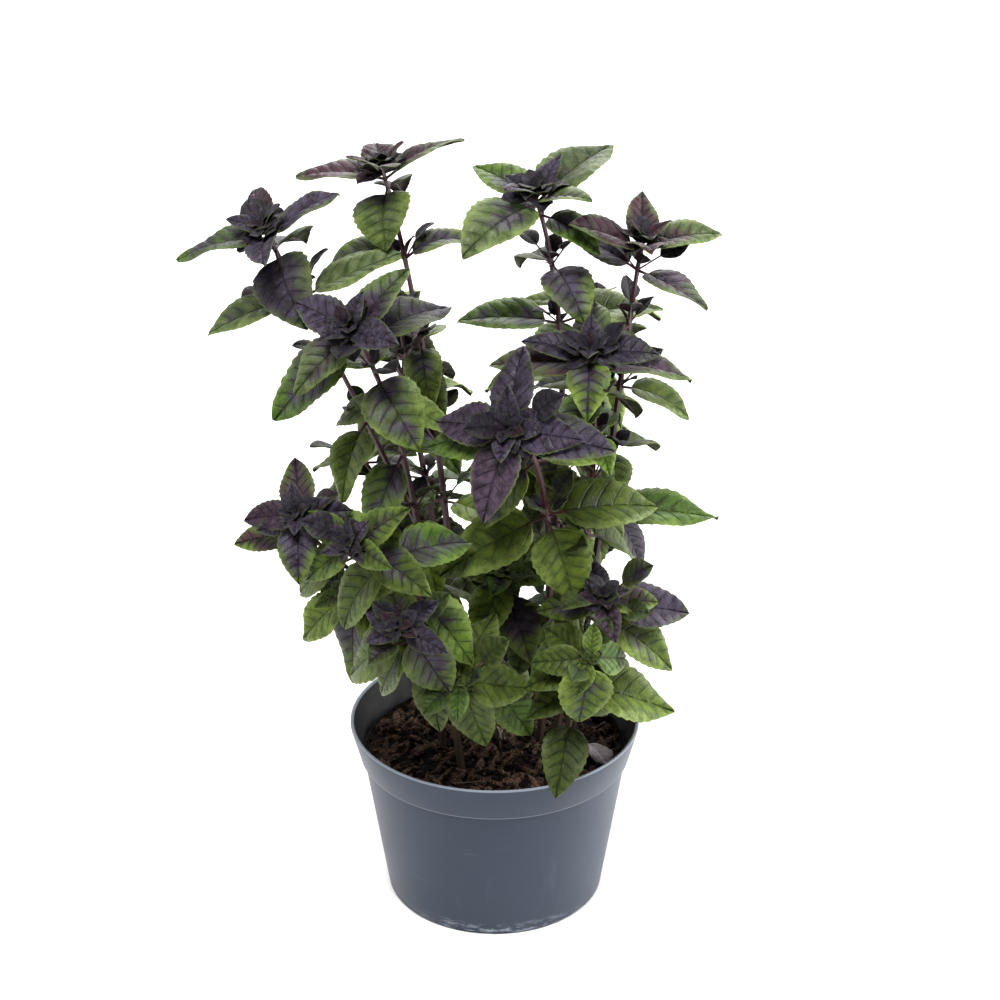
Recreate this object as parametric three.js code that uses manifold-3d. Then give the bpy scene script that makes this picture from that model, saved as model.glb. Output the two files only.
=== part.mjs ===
// A potted purple-tipped basil: a tapered nursery pot, its soil, the leafy stems that stand in the soil,
// the dark heads of young leaves at their ends, and one dried leaf that has dropped on the soil.
// Millimetres, +Z up, origin at the middle of the pot's underside. -Y is the front.
import * as THREE from "three";
import { mergeVertices } from "three/addons/utils/BufferGeometryUtils.js";
import Module from "manifold-3d";

const wasm = await Module();
wasm.setup();

// Driving dimensions of the pot and its soil.
const POT_RIM_RADIUS = 95;
const POT_HEIGHT = 123.5;
const POT_FOOT_RADIUS = 71.2;
const POT_WALL = 1.7;
const BAND_DROP = 24.6; // the collar reaches this far down from the rim
const BAND_FOOT_RADIUS = 88.7;
const BAND_STEP = 1.9; // how far the collar stands out from the wall below it
const LIP_ROUND = 0.7;
const FOOT_CHAMFER = 1.6;
const FLOOR_LIFT = 2.5; // the floor is raised this much between the foot ring and the middle foot
const MIDDLE_FOOT_RADIUS = 16;
const FOOT_RING_WIDTH = 8;
const DRAIN = { holes: 6, radius: 5, circle: 46, sides: 8, depth: 20 };
const FOOT_NOTCH = { count: 5, width: 20, height: 2, depth: 14, firstTurn: 258 };
const POT_SIDES = 32;
const SOIL_DEPTH_BELOW_RIM = 22;
const SOIL_MOUND = 5; // the middle of the soil stands this much above its edge
const SOIL_WAVES = [
  { height: 0.9, alongX: 9, alongY: 11, start: 1 },
  { height: 0.7, alongX: 5, alongY: -6, start: 0 },
  { height: 0.4, alongX: 3.5, alongY: 4, start: 2 },
];
const SOIL_GRID = { rings: 4, sides: 22, foot: 1.4 };
const GAP = 0.3; // clearance between pieces that touch

// Driving dimensions of the plant.
const STEM_HOLE_DEPTH = 42;
const STEM_FOOT_RADIUS = 2.7;
const BRANCH_FOOT_RADIUS = 1.7;
const STEM_TIP_RADIUS = 1.25;
const STEM_SIDES = 4; // the stems of a basil are square
const STEM_STEPS = 7;
const BRANCH_STEPS = 4;
const HEAD_CORE_LENGTH = 9;
const BUD_RADIUS = 2.4; // the youngest leaves, still folded together
const BUD_TIP_RADIUS = 0.5;
const PETIOLE_SHARE = 0.16; // of the blade's length
const PETIOLE_HALF = { share: 0.035, most: 0.95 }; // of the blade's length, and at most
const BLADE_WIDTH_SHARE = 0.66;
const BLADE_THICKNESS = 1.3; // at the midrib
const BIG_LEAF = 30; // blades longer than this have teeth
const FOLD_DEG = 17; // each half of a blade rises from the midrib by this much
const TEST_SWELL = 1.6; // a blade is this much thicker while it is tried for room
const FALLEN_LEAF = { x: 59, y: -2, turn: 294, lift: 8, roll: -16, length: 34, droop: 14, fullness: 0.95 };

const DEG = Math.PI / 180;
const UP = new THREE.Vector3(0, 0, 1);
const OUTWARD_LEAN = 0.0025; // the leaves lean outwards by this much for each mm from the middle

// How the leaves of the pairs and of the heads stand. upright is the share that the light has in a leaf's
// stand, against its stem's direction. The rest is how far each leaf strays from its pair's values.
const PAIR_STAND = { upright: 0.6, turn: 8, lift: 5, roll: 10, length: 0.08, droop: 10, fullness: 0.08 };
const HEAD_STAND = { upright: 0.45, turn: 6, lift: 6, roll: 8, length: 0.08, droop: 8, fullness: 0.08 };
const PAIR_FORWARD = 0.42; // the light of the pairs is this much forward for each 1 of height
const HEAD_DROOP = 30;

// The leafy stems. foot is where a stem enters the soil, [x, y]. A side branch has from instead, the share
// of its stem's length at which it leaves. pull is the point that bends it, and tip is its growing point.
// A pair is [share of the length, turn of its first leaf about the vertical, blade length, lift, droop]:
// turn 0 points to +X and 90 to +Y, lift is its rise at the stem and droop its bend over its length.
// head is [turn, longest blade, lift, how far its light is forward for each 1 of height].
const PLANTS = [
  {
    name: "left_back",
    axes: [
      {
        foot: [-20, 16], pull: [-28, 24, 330], tip: [-68, 40, 482], head: [2, 47, 20, 0.15],
        pairs: [
          [0.3, 60, 50, -20, 50], [0.42, 150, 52, -10, 50], [0.54, 5, 50, 0, 50],
          [0.68, 275, 46, -8, 60], [0.83, 2, 44, 32, 75], [0.965, 266, 38, -8, 45],
        ],
      },
      {
        from: 0.52, pull: [-54, 28, 330], tip: [-59, 28, 392], head: [12, 40, 30, 0.5],
        pairs: [[0.45, 40, 44, 0, 60], [0.74, 310, 44, 5, 50], [0.92, 350, 46, 15, 60]],
      },
    ],
  },
  {
    name: "left_front",
    axes: [
      {
        foot: [-33, -8], pull: [-40, -20, 330], tip: [-84, -58, 416], head: [42, 46, 14, 0.95],
        pairs: [
          [0.36, 200, 52, -30, 40], [0.5, 285, 50, -30, 45], [0.62, 240, 50, -25, 40],
          [0.74, 350, 40, -5, 50], [0.84, 280, 46, -15, 50], [0.94, 215, 56, -5, 25],
        ],
      },
      {
        from: 0.46, pull: [-98, 0, 380], tip: [-138, -2, 458], head: [184, 48, 20, 0.8],
        pairs: [
          [0.32, 240, 46, -15, 50], [0.52, 160, 46, 0, 50], [0.74, 186, 56, 8, 18], [0.92, 262, 50, -15, 40],
        ],
      },
      {
        from: 0.3, pull: [-110, -50, 260], tip: [-116, -84, 310], head: [88, 36, 6, 0.95],
        pairs: [[0.5, 200, 44, -25, 50], [0.82, 176, 40, 0, 20]],
      },
    ],
  },
  {
    name: "front_left",
    axes: [
      {
        foot: [-19, -32], pull: [-30, -70, 280], tip: [-84, -106, 300], head: [30, 38, 6, 0.95],
        pairs: [
          [0.42, 335, 46, -35, 40], [0.6, 296, 52, -30, 40], [0.78, 215, 50, -20, 40],
          [0.92, 305, 46, -10, 35],
        ],
      },
      {
        from: 0.3, pull: [-75, -50, 230], tip: [-92, -62, 246], head: [205, 42, -14, 0.95],
        pairs: [[0.55, 310, 44, -25, 40], [0.84, 225, 50, -45, 20]],
      },
      {
        from: 0.2, pull: [-40, -85, 225], tip: [-56, -118, 252], head: [125, 28, 4, 0.95],
        pairs: [[0.5, 280, 46, -35, 30], [0.72, 200, 50, -38, 30], [0.88, 288, 46, -52, 25]],
      },
    ],
  },
  {
    name: "front_middle",
    axes: [
      {
        foot: [26, 6], pull: [50, -44, 330], tip: [8, -88, 364], head: [70, 50, 4, 0.95],
        pairs: [
          [0.34, 300, 50, -30, 40], [0.46, 294, 50, -30, 40], [0.57, 200, 64, -2, 18],
          [0.76, 212, 44, -20, 40], [0.93, 345, 50, 4, 30],
        ],
      },
      {
        from: 0.14, pull: [-2, -70, 194], tip: [-22, -98, 204], head: [250, 50, -38, 0.95],
        pairs: [[0.55, 300, 44, -45, 30], [0.84, 192, 46, -50, 20]],
      },
    ],
  },
  {
    name: "right_back",
    axes: [
      {
        foot: [16, 20], pull: [64, 20, 350], tip: [25, 18, 472], head: [46, 54, 16, 0.5],
        pairs: [
          [0.26, 60, 50, -20, 50], [0.38, 330, 52, -15, 50], [0.5, 60, 50, -5, 50], [0.61, 340, 50, 0, 50],
          [0.72, 180, 56, 12, 30], [0.84, 300, 44, 0, 55], [0.955, 320, 42, 0, 45],
        ],
      },
      {
        from: 0.5, pull: [34, -10, 290], tip: [22, -18, 326], head: [200, 38, 14, 0.95],
        pairs: [[0.7, 110, 46, 0, 50]],
      },
    ],
  },
  {
    name: "right",
    axes: [
      {
        foot: [47, 8], pull: [74, 8, 330], tip: [89, 8, 446], head: [10, 44, 34, 0.5],
        pairs: [
          [0.26, 80, 48, -20, 50], [0.44, 356, 62, 20, 16], [0.55, 75, 44, 0, 50],
          [0.67, 350, 46, 5, 50], [0.8, 62, 42, 5, 50], [0.93, 326, 44, 12, 25],
        ],
      },
    ],
  },
  {
    name: "right_front",
    axes: [
      {
        foot: [31, -13], pull: [72, -16, 300], tip: [57, -32, 392], head: [82, 44, 12, 0.95],
        pairs: [
          [0.34, 200, 50, -35, 40], [0.5, 232, 48, -35, 30], [0.62, 215, 38, -8, 50],
          [0.74, 255, 36, -15, 50], [0.86, 240, 46, -10, 40], [0.95, 176, 52, 6, 20],
        ],
      },
      {
        from: 0.22, pull: [70, -50, 210], tip: [66, -64, 244], head: [190, 34, 0, 0.95],
        pairs: [[0.5, 40, 46, -20, 40], [0.74, 320, 48, -15, 40], [0.9, 355, 48, 2, 18]],
      },
    ],
  },
  {
    name: "front_right",
    axes: [
      {
        foot: [36, -40], pull: [52, -60, 200], tip: [58, -92, 216], head: [272, 44, -34, 0.95],
        pairs: [[0.42, 258, 50, -28, 16], [0.6, 352, 56, -14, 14], [0.8, 232, 50, -30, 25]],
      },
    ],
  },
  {
    name: "middle",
    axes: [
      {
        foot: [-2, 2], pull: [4, 0, 200], tip: [6, -16, 236], head: [70, 44, 4, 0.95],
        pairs: [[0.46, 330, 48, -20, 50], [0.66, 50, 50, -10, 50], [0.84, 300, 46, -20, 40]],
      },
    ],
  },
  {
    name: "far_left",
    axes: [
      {
        foot: [-26, 46], pull: [-40, 80, 300], tip: [-78, 112, 364], head: [60, 42, 14, 0.3],
        pairs: [
          [0.36, 130, 50, -25, 45], [0.5, 40, 52, -15, 50], [0.63, 130, 50, -10, 50],
          [0.76, 45, 50, -5, 50], [0.89, 130, 46, 0, 45],
        ],
      },
      {
        from: 0.4, pull: [-82, 96, 250], tip: [-92, 96, 272], head: [160, 34, 0, 0],
        pairs: [[0.5, 100, 48, -20, 45], [0.8, 190, 44, -20, 40]],
      },
      {
        from: 0.2, pull: [-40, 100, 200], tip: [-46, 122, 226], head: [100, 38, -5, -0.5],
        pairs: [[0.5, 20, 50, -35, 30], [0.8, 100, 46, -30, 30]],
      },
    ],
  },
  {
    name: "far_right",
    axes: [
      {
        foot: [24, 50], pull: [50, 80, 310], tip: [62, 106, 372], head: [20, 42, 14, 0.3],
        pairs: [
          [0.36, 40, 50, -25, 45], [0.5, 130, 52, -15, 50], [0.63, 40, 50, -10, 50],
          [0.76, 130, 50, -5, 50], [0.89, 50, 46, 0, 45],
        ],
      },
      {
        from: 0.35, pull: [78, 82, 215], tip: [80, 92, 240], head: [60, 36, 0, 0],
        pairs: [[0.5, 70, 44, -20, 45], [0.8, 140, 40, -20, 40]],
      },
      {
        from: 0.22, pull: [40, 100, 200], tip: [44, 124, 230], head: [80, 38, -5, -0.5],
        pairs: [[0.5, 160, 50, -35, 30], [0.8, 80, 46, -30, 30]],
      },
    ],
  },
];

// The pairs of a head, from its foot up: [turn, share of the longest blade, lift, share of the core].
const HEAD_PAIRS = [[0, 1, 0, 0.2], [90, 0.8, 8, 0.4], [0, 0.48, 36, 0.62]];

// What a leaf tries, in turn, until it is clear of its neighbours: [more turn, more lift, size].
const BENDS = [
  [0, 0, 1], [9, 0, 1], [-9, 0, 1], [0, 10, 1], [0, -10, 1], [18, 6, 1], [-18, 6, 1], [15, -12, 1],
  [-15, -12, 1], [0, 20, 0.95], [0, -22, 0.95], [28, 0, 0.9], [-28, 0, 0.9], [10, 26, 0.85], [-10, 26, 0.85],
  [12, -30, 0.85], [-12, -30, 0.85], [38, 14, 0.75], [-38, 14, 0.75], [0, 38, 0.7], [0, -42, 0.7],
  [50, 0, 0.6], [-50, 0, 0.6],
];

// Where a blade's midrib and its edge have points, [share of the length, width]: a tooth before each notch.
const BIG_BLADE = {
  rib: [0, 0.35, 0.7],
  edge: [[0, 1], [0.2, 1], [0.44, 1.04], [0.5, 0.93], [0.7, 1.08], [0.76, 0.93]],
};
const SMALL_BLADE = { rib: [0, 0.45], edge: [[0, 1], [0.25, 1], [0.6, 1.05]] };

// A number from -1 to 1 that depends only on the two whole numbers it is given.
function wobble(leaf, salt) {
  let h = Math.imul(leaf * 64 + salt + 1, 0x9e3779b1) >>> 0;
  h = Math.imul(h ^ (h >>> 15), 0x85ebca6b) >>> 0;
  h = (h ^ (h >>> 13)) >>> 0;
  return (h / 0xffffffff) * 2 - 1;
}

// A closed solid from a three.js geometry.
function solidOf(geometry) {
  const bare = geometry.index ? geometry.toNonIndexed() : geometry.clone();
  const only = new THREE.BufferGeometry().setAttribute("position", bare.getAttribute("position"));
  const merged = mergeVertices(only, 1e-4);
  return new wasm.Manifold(
    new wasm.Mesh({
      numProp: 3,
      vertProperties: new Float32Array(merged.attributes.position.array),
      triVerts: new Uint32Array(merged.index.array),
    }),
  );
}

// A three.js geometry from a closed solid.
function geometryOf(solid) {
  const mesh = solid.getMesh();
  const positions = new Float32Array(mesh.numVert * 3);
  for (let i = 0; i < mesh.numVert; i++) {
    positions.set(mesh.vertProperties.subarray(i * mesh.numProp, i * mesh.numProp + 3), i * 3);
  }
  const geometry = new THREE.BufferGeometry();
  geometry.setAttribute("position", new THREE.BufferAttribute(positions, 3));
  geometry.setIndex(new THREE.BufferAttribute(new Uint32Array(mesh.triVerts), 1));
  geometry.computeVertexNormals();
  return geometry;
}

function geometryFrom(points, faces) {
  const geometry = new THREE.BufferGeometry().setFromPoints(points);
  geometry.setIndex(faces);
  return geometry;
}

function namedMesh(name, solid, material) {
  const mesh = new THREE.Mesh(geometryOf(solid), material);
  mesh.name = name;
  return mesh;
}

const BAND_FOOT_Z = POT_HEIGHT - BAND_DROP;
const FLOOR_TOP = FLOOR_LIFT + POT_WALL;
const SOIL_EDGE_Z = POT_HEIGHT - SOIL_DEPTH_BELOW_RIM;

// The radius of the pot's outside below its collar, at height z.
function wallRadius(z) {
  return THREE.MathUtils.mapLinear(z, 0, BAND_FOOT_Z, POT_FOOT_RADIUS, BAND_FOOT_RADIUS - BAND_STEP);
}

const SOIL_EDGE_RADIUS = wallRadius(SOIL_EDGE_Z) - POT_WALL;
const FLOOR_RADIUS = wallRadius(FLOOR_TOP) - 1.5 * POT_WALL;

// The pot: a turned shell with a collar and a raised floor, less its drain holes and foot notches.
function makePot() {
  const ringInside = POT_FOOT_RADIUS - FOOT_RING_WIDTH;
  const profile = [
    [0, 0],
    [MIDDLE_FOOT_RADIUS, 0],
    [MIDDLE_FOOT_RADIUS + FLOOR_LIFT, FLOOR_LIFT],
    [ringInside - FLOOR_LIFT, FLOOR_LIFT],
    [ringInside, 0],
    [POT_FOOT_RADIUS - FOOT_CHAMFER, 0],
    [wallRadius(FOOT_CHAMFER), FOOT_CHAMFER],
    [wallRadius(BAND_FOOT_Z), BAND_FOOT_Z],
    [BAND_FOOT_RADIUS, BAND_FOOT_Z],
    [POT_RIM_RADIUS, POT_HEIGHT - 2 * LIP_ROUND],
    [POT_RIM_RADIUS - LIP_ROUND / 2, POT_HEIGHT],
    [POT_RIM_RADIUS - LIP_ROUND - POT_WALL, POT_HEIGHT - LIP_ROUND],
    [BAND_FOOT_RADIUS - POT_WALL, BAND_FOOT_Z + POT_WALL],
    [wallRadius(BAND_FOOT_Z) - POT_WALL, BAND_FOOT_Z - POT_WALL],
    [FLOOR_RADIUS, FLOOR_TOP],
    [0, FLOOR_TOP],
  ].map(([r, z]) => new THREE.Vector2(r, z));
  let pot = solidOf(new THREE.LatheGeometry(profile, POT_SIDES).rotateX(Math.PI / 2));
  for (let i = 0; i < DRAIN.holes; i++) {
    const drill = new THREE.CylinderGeometry(DRAIN.radius, DRAIN.radius, DRAIN.depth, DRAIN.sides);
    drill.rotateX(Math.PI / 2).translate(DRAIN.circle, 0, 0).rotateZ(((i + 0.5) / DRAIN.holes) * 2 * Math.PI);
    pot = pot.subtract(solidOf(drill));
  }
  for (let i = 0; i < FOOT_NOTCH.count; i++) {
    const cutter = new THREE.BoxGeometry(FOOT_NOTCH.depth, FOOT_NOTCH.width, 2 * FOOT_NOTCH.height);
    cutter.translate(POT_FOOT_RADIUS - FOOT_RING_WIDTH / 2, 0, 0);
    cutter.rotateZ(FOOT_NOTCH.firstTurn * DEG + (i / FOOT_NOTCH.count) * 2 * Math.PI);
    pot = pot.subtract(solidOf(cutter));
  }
  return pot;
}

// The height of the soil's surface: a low mound with lumps that come from three waves.
function soilHeight(x, y) {
  const r = Math.hypot(x, y) / SOIL_EDGE_RADIUS;
  const lumps = SOIL_WAVES.map((w) => w.height * Math.sin(x / w.alongX + y / w.alongY + w.start));
  return SOIL_EDGE_Z + SOIL_MOUND * (1 - r * r) + (1 - r / 2) * lumps.reduce((sum, lump) => sum + lump, 0);
}

// The soil: a filling with a lumpy top, less a hole for each stem's foot.
function makeSoil(feet) {
  const { rings, sides, foot } = SOIL_GRID;
  const edge = SOIL_EDGE_RADIUS - GAP;
  const points = [new THREE.Vector3(0, 0, soilHeight(0, 0))];
  const faces = [];
  const ring = (radius, height) => {
    for (let j = 0; j < sides; j++) {
      const x = radius * Math.cos((j / sides) * 2 * Math.PI);
      const y = radius * Math.sin((j / sides) * 2 * Math.PI);
      points.push(new THREE.Vector3(x, y, height ?? soilHeight(x, y)));
    }
  };
  for (let i = 1; i <= rings; i++) ring((edge * i) / rings);
  ring(FLOOR_RADIUS - GAP, FLOOR_TOP + GAP + foot);
  ring(FLOOR_RADIUS - foot, FLOOR_TOP + GAP);
  const last = points.length;
  points.push(new THREE.Vector3(0, 0, FLOOR_TOP + GAP));
  const at = (i, j) => 1 + (i - 1) * sides + (j % sides);
  for (let j = 0; j < sides; j++) {
    faces.push(0, at(1, j), at(1, j + 1));
    for (let i = 1; i < rings + 2; i++) {
      faces.push(at(i, j), at(i + 1, j), at(i + 1, j + 1), at(i, j), at(i + 1, j + 1), at(i, j + 1));
    }
    faces.push(at(rings + 2, j), last, at(rings + 2, j + 1));
  }
  let soil = solidOf(geometryFrom(points, faces));
  for (const axis of feet) {
    soil = soil.subtract(solidOf(tube(axis.curve, 0, axis.sunk, () => STEM_FOOT_RADIUS + 2 * GAP, 1, GAP)));
  }
  return soil;
}

// A tube round a curve between two shares of its length. Its ends reach past those shares by extra.
function tube(curve, from, to, radiusAt, steps, extra = 0) {
  const points = [];
  const faces = [];
  for (let i = 0; i <= steps; i++) {
    const share = THREE.MathUtils.lerp(from, to, i / steps);
    const centre = curve.getPoint(share);
    const along = curve.getTangent(share);
    if (i === 0) centre.addScaledVector(along, -extra);
    if (i === steps) centre.addScaledVector(along, extra);
    const side = new THREE.Vector3(0, 1, 0).cross(along).normalize();
    const other = new THREE.Vector3().crossVectors(along, side);
    for (let j = 0; j < STEM_SIDES; j++) {
      const turn = (j / STEM_SIDES) * 2 * Math.PI;
      const rim = side.clone().multiplyScalar(radiusAt(share) * Math.cos(turn));
      points.push(rim.addScaledVector(other, radiusAt(share) * Math.sin(turn)).add(centre));
    }
  }
  const at = (i, j) => i * STEM_SIDES + (j % STEM_SIDES);
  for (let j = 0; j < STEM_SIDES; j++) {
    for (let i = 0; i < steps; i++) {
      faces.push(at(i, j), at(i, j + 1), at(i + 1, j + 1), at(i, j), at(i + 1, j + 1), at(i + 1, j));
    }
    if (j > 1) faces.push(at(0, 0), at(0, j), at(0, j - 1), at(steps, 0), at(steps, j - 1), at(steps, j));
  }
  return geometryFrom(points, faces);
}

// The direction and the upper side of a leaf that leaves a stem whose local axis is given.
function leafFrame(axis, turnDeg, liftDeg, rollDeg) {
  const flat = new THREE.Vector3(Math.cos(turnDeg * DEG), Math.sin(turnDeg * DEG), 0);
  const out = flat.addScaledVector(axis, -flat.dot(axis)).normalize();
  const lift = liftDeg * DEG;
  const along = out.clone().multiplyScalar(Math.cos(lift)).addScaledVector(axis, Math.sin(lift));
  const face = axis.clone().multiplyScalar(Math.cos(lift)).addScaledVector(out, -Math.sin(lift));
  face.applyAxisAngle(along, rollDeg * DEG);
  return { along, face, side: new THREE.Vector3().crossVectors(along, face) };
}

// The half width of a blade, as a share of its widest, at a share of its length.
function bladeHalf(share) {
  return Math.sin(Math.PI * Math.pow(share, 0.72)) ** 0.9;
}

// A point of a leaf. share runs from 0 at the blade's foot to 1 at its tip, and is below 0 on the petiole.
// across is the distance from the midrib, and above the height over it.
function leafPoint(leaf, share, across, above) {
  const { along, face, side } = leaf.frame;
  const petiole = PETIOLE_SHARE * leaf.length;
  const bend = leaf.droop * DEG * Math.max(share, 0);
  const bendRadius = leaf.length / (leaf.droop * DEG);
  const sag = bendRadius * (1 - Math.cos(bend));
  const reach = share < 0 ? petiole * (1 + share) : petiole + bendRadius * Math.sin(bend);
  const height = above + Math.abs(across) * Math.sin(FOLD_DEG * DEG);
  return leaf.root
    .clone()
    .addScaledVector(along, reach + height * Math.sin(bend))
    .addScaledVector(face, height * Math.cos(bend) - sag)
    .addScaledVector(side, across * Math.cos(FOLD_DEG * DEG));
}

// A leaf as a closed solid: a thin four-edged loft from a point inside the stem, by the petiole, to its tip.
function leafSolid(leaf, swell = 0) {
  const cut = leaf.length > BIG_LEAF ? BIG_BLADE : SMALL_BLADE;
  const half = (leaf.length * BLADE_WIDTH_SHARE * leaf.fullness) / 2;
  const thick = (BLADE_THICKNESS + swell) / 2;
  const petioleHalf = Math.min(PETIOLE_HALF.most, leaf.length * PETIOLE_HALF.share) + swell / 2;
  const points = [];
  const rail = (rows) => rows.map(([share, across, above]) => {
    points.push(leafPoint(leaf, share, across, above));
    return { share, index: points.length - 1 };
  });
  const ribHalf = (share) => (share === 0 ? Math.max(thick, petioleHalf) : thick);
  const rib = (sign) => rail(cut.rib.map((s) => [s, 0, sign * ribHalf(s)]));
  const edge = (sign) => rail(
    cut.edge.map(([s, k]) => [s, sign * Math.max(petioleHalf, half * k * bladeHalf(s)), 0]),
  );
  const rails = [rib(1), edge(-1), rib(-1), edge(1)];
  for (const end of [-1, 1]) {
    points.push(leafPoint(leaf, end, 0, 0));
    const point = { share: end, index: points.length - 1 };
    rails.forEach((r) => (end < 0 ? r.unshift(point) : r.push(point)));
  }
  const faces = [];
  rails.forEach((a, k) => {
    const b = rails[(k + 1) % rails.length];
    let i = 0;
    let j = 0;
    while (i < a.length - 1 || j < b.length - 1) {
      const stepA = j === b.length - 1 || (i < a.length - 1 && a[i + 1].share <= b[j + 1].share);
      const third = stepA ? a[i + 1].index : b[j + 1].index;
      const corners = [a[i].index, third, b[j].index];
      if (new Set(corners).size === 3) faces.push(...corners);
      if (stepA) i++;
      else j++;
    }
  });
  return solidOf(geometryFrom(points, faces));
}

// Everything that has a place so far, to keep leaves of different stems apart.
const placed = [];

function place(solid, owner, kind) {
  placed.push({ solid, owner, kind, box: solid.boundingBox() });
  return solid;
}

function boxesMeet(a, b) {
  return [0, 1, 2].every((k) => a.min[k] <= b.max[k] && b.min[k] <= a.max[k]);
}

function crosses(solid, skip) {
  const box = solid.boundingBox();
  return placed.some((p) => !skip(p) && boxesMeet(box, p.box) && !solid.intersect(p.solid).isEmpty());
}

// The first bend of a leaf that clears its neighbours. It may meet a leaf of its own stem if it has to.
function growLeaf(makeLeaf, owner) {
  const ownStem = (p) => p.owner === owner && p.kind === "stem";
  const ownNode = (p) => p.owner === owner;
  for (const skip of [ownStem, ownNode]) {
    for (const bend of BENDS) {
      const leaf = makeLeaf(bend);
      if (!crosses(leafSolid(leaf, TEST_SWELL), skip)) return place(leafSolid(leaf), owner, "leaf");
    }
  }
  return null;
}

let leafCount = 0;

// Grows the two leaves of a pair. base holds the pair's own turn, lift, length and droop.
function growPair(owner, root, axis, stand, base) {
  return [0, 180].flatMap((half) => {
    const n = leafCount++;
    const stray = (salt, key) => stand[key] * wobble(n, salt);
    const leaf = growLeaf(([moreTurn, moreLift, size]) => {
      const turn = base.turn + half + moreTurn + stray(0, "turn");
      return {
        root,
        frame: leafFrame(axis, turn, base.lift + moreLift + stray(1, "lift"), stray(2, "roll")),
        length: base.length * size * (1 + stray(3, "length")),
        droop: base.droop + stray(4, "droop"),
        fullness: 1 + stray(5, "fullness"),
      };
    }, owner);
    return leaf ? [leaf] : [];
  });
}

// The axis that a leaf stands off from: between its stem's direction and that of the light, and outwards.
function leafAxis(tangent, root, stand, forward) {
  const light = new THREE.Vector3(0, -forward, 1).normalize();
  light.add(new THREE.Vector3(root.x, root.y, 0).multiplyScalar(OUTWARD_LEAN));
  return tangent.clone().multiplyScalar(1 - stand.upright).addScaledVector(light, stand.upright).normalize();
}

// Works out an axis's curve, and where it leaves the soil and where its head begins.
function layAxis(axis, stemCurve) {
  const start = axis.foot
    ? new THREE.Vector3(...axis.foot, soilHeight(...axis.foot) - STEM_HOLE_DEPTH)
    : stemCurve.getPoint(axis.from);
  const [pull, tip] = [axis.pull, axis.tip].map((point) => new THREE.Vector3(...point));
  axis.curve = new THREE.QuadraticBezierCurve3(start, pull, tip);
  const length = axis.curve.getLength();
  axis.headShare = 1 - HEAD_CORE_LENGTH / length;
  axis.sunk = axis.foot ? STEM_HOLE_DEPTH / length : 0;
  const footRadius = axis.foot ? STEM_FOOT_RADIUS : BRANCH_FOOT_RADIUS;
  axis.radiusAt = (share) => THREE.MathUtils.lerp(footRadius, STEM_TIP_RADIUS, share);
}

function makeStem(plant) {
  return plant.axes.map((axis) => {
    const steps = axis.foot ? STEM_STEPS : BRANCH_STEPS;
    const shaft = solidOf(tube(axis.curve, 0, axis.headShare, axis.radiusAt, steps));
    return place(shaft, "stem_" + plant.name, "stem");
  });
}

function growPairs(plant, axis) {
  return axis.pairs.flatMap(([share, turn, length, lift, droop]) => {
    const root = axis.curve.getPoint(share);
    const stand = leafAxis(axis.curve.getTangent(share), root, PAIR_STAND, PAIR_FORWARD);
    return growPair("stem_" + plant.name, root, stand, PAIR_STAND, { turn, length, lift, droop });
  });
}

// A head: a short core that swells into a bud, with its pairs of young leaves.
function growHead(name, axis) {
  const budRadius = (share) => {
    if (share > 0.999) return BUD_TIP_RADIUS;
    return share < (axis.headShare + 1) / 2 ? STEM_TIP_RADIUS : BUD_RADIUS;
  };
  const tangent = axis.curve.getTangent(1);
  const core = tube(axis.curve, axis.headShare, 1, budRadius, 3);
  core.translate(...tangent.clone().multiplyScalar(GAP).toArray());
  const pieces = [place(solidOf(core), name, "stem")];
  const [turn, longest, lift, forward] = axis.head;
  const stand = leafAxis(tangent, axis.curve.getPoint(1), HEAD_STAND, forward);
  for (const [addTurn, sizeShare, addLift, coreShare] of HEAD_PAIRS) {
    const root = axis.curve.getPoint(THREE.MathUtils.lerp(axis.headShare, 1, coreShare));
    const length = longest * sizeShare;
    const base = { turn: turn + addTurn, length, lift: lift + addLift, droop: HEAD_DROOP };
    pieces.push(...growPair(name, root, stand, HEAD_STAND, base));
  }
  return wasm.Manifold.union(pieces);
}

// The dried leaf lies on the soil: it is raised until it is clear of all that has a place.
function makeFallenLeaf() {
  const { x, y, turn, lift, roll, length, droop, fullness } = FALLEN_LEAF;
  const frame = leafFrame(UP, turn, lift, roll);
  for (let rise = 0; rise < length; rise += GAP) {
    const leaf = { root: new THREE.Vector3(x, y, soilHeight(x, y) + rise), frame, length, droop, fullness };
    if (!crosses(leafSolid(leaf, GAP), () => false)) return place(leafSolid(leaf), "fallen_leaf", "leaf");
  }
  throw new Error("no room for the fallen leaf");
}

const POT_PLASTIC = new THREE.MeshStandardMaterial({ color: 0x46525f, roughness: 0.45, metalness: 0 });
const SOIL = new THREE.MeshStandardMaterial({ color: 0x2c1d16, roughness: 1, metalness: 0 });
const LEAF_GREEN = new THREE.MeshStandardMaterial({ color: 0x4f6f2c, roughness: 0.55, metalness: 0 });
const LEAF_PURPLE = new THREE.MeshStandardMaterial({ color: 0x3b3142, roughness: 0.5, metalness: 0 });
const LEAF_DRIED = new THREE.MeshStandardMaterial({ color: 0x5f5560, roughness: 0.8, metalness: 0 });

const basil = new THREE.Group();

for (const plant of PLANTS) {
  for (const axis of plant.axes) layAxis(axis, plant.axes[0].curve);
}
const feet = PLANTS.map((plant) => plant.axes[0]);
basil.add(namedMesh("pot", place(makePot(), "pot", "pot"), POT_PLASTIC));
basil.add(namedMesh("soil", place(makeSoil(feet), "soil", "soil"), SOIL));

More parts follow.
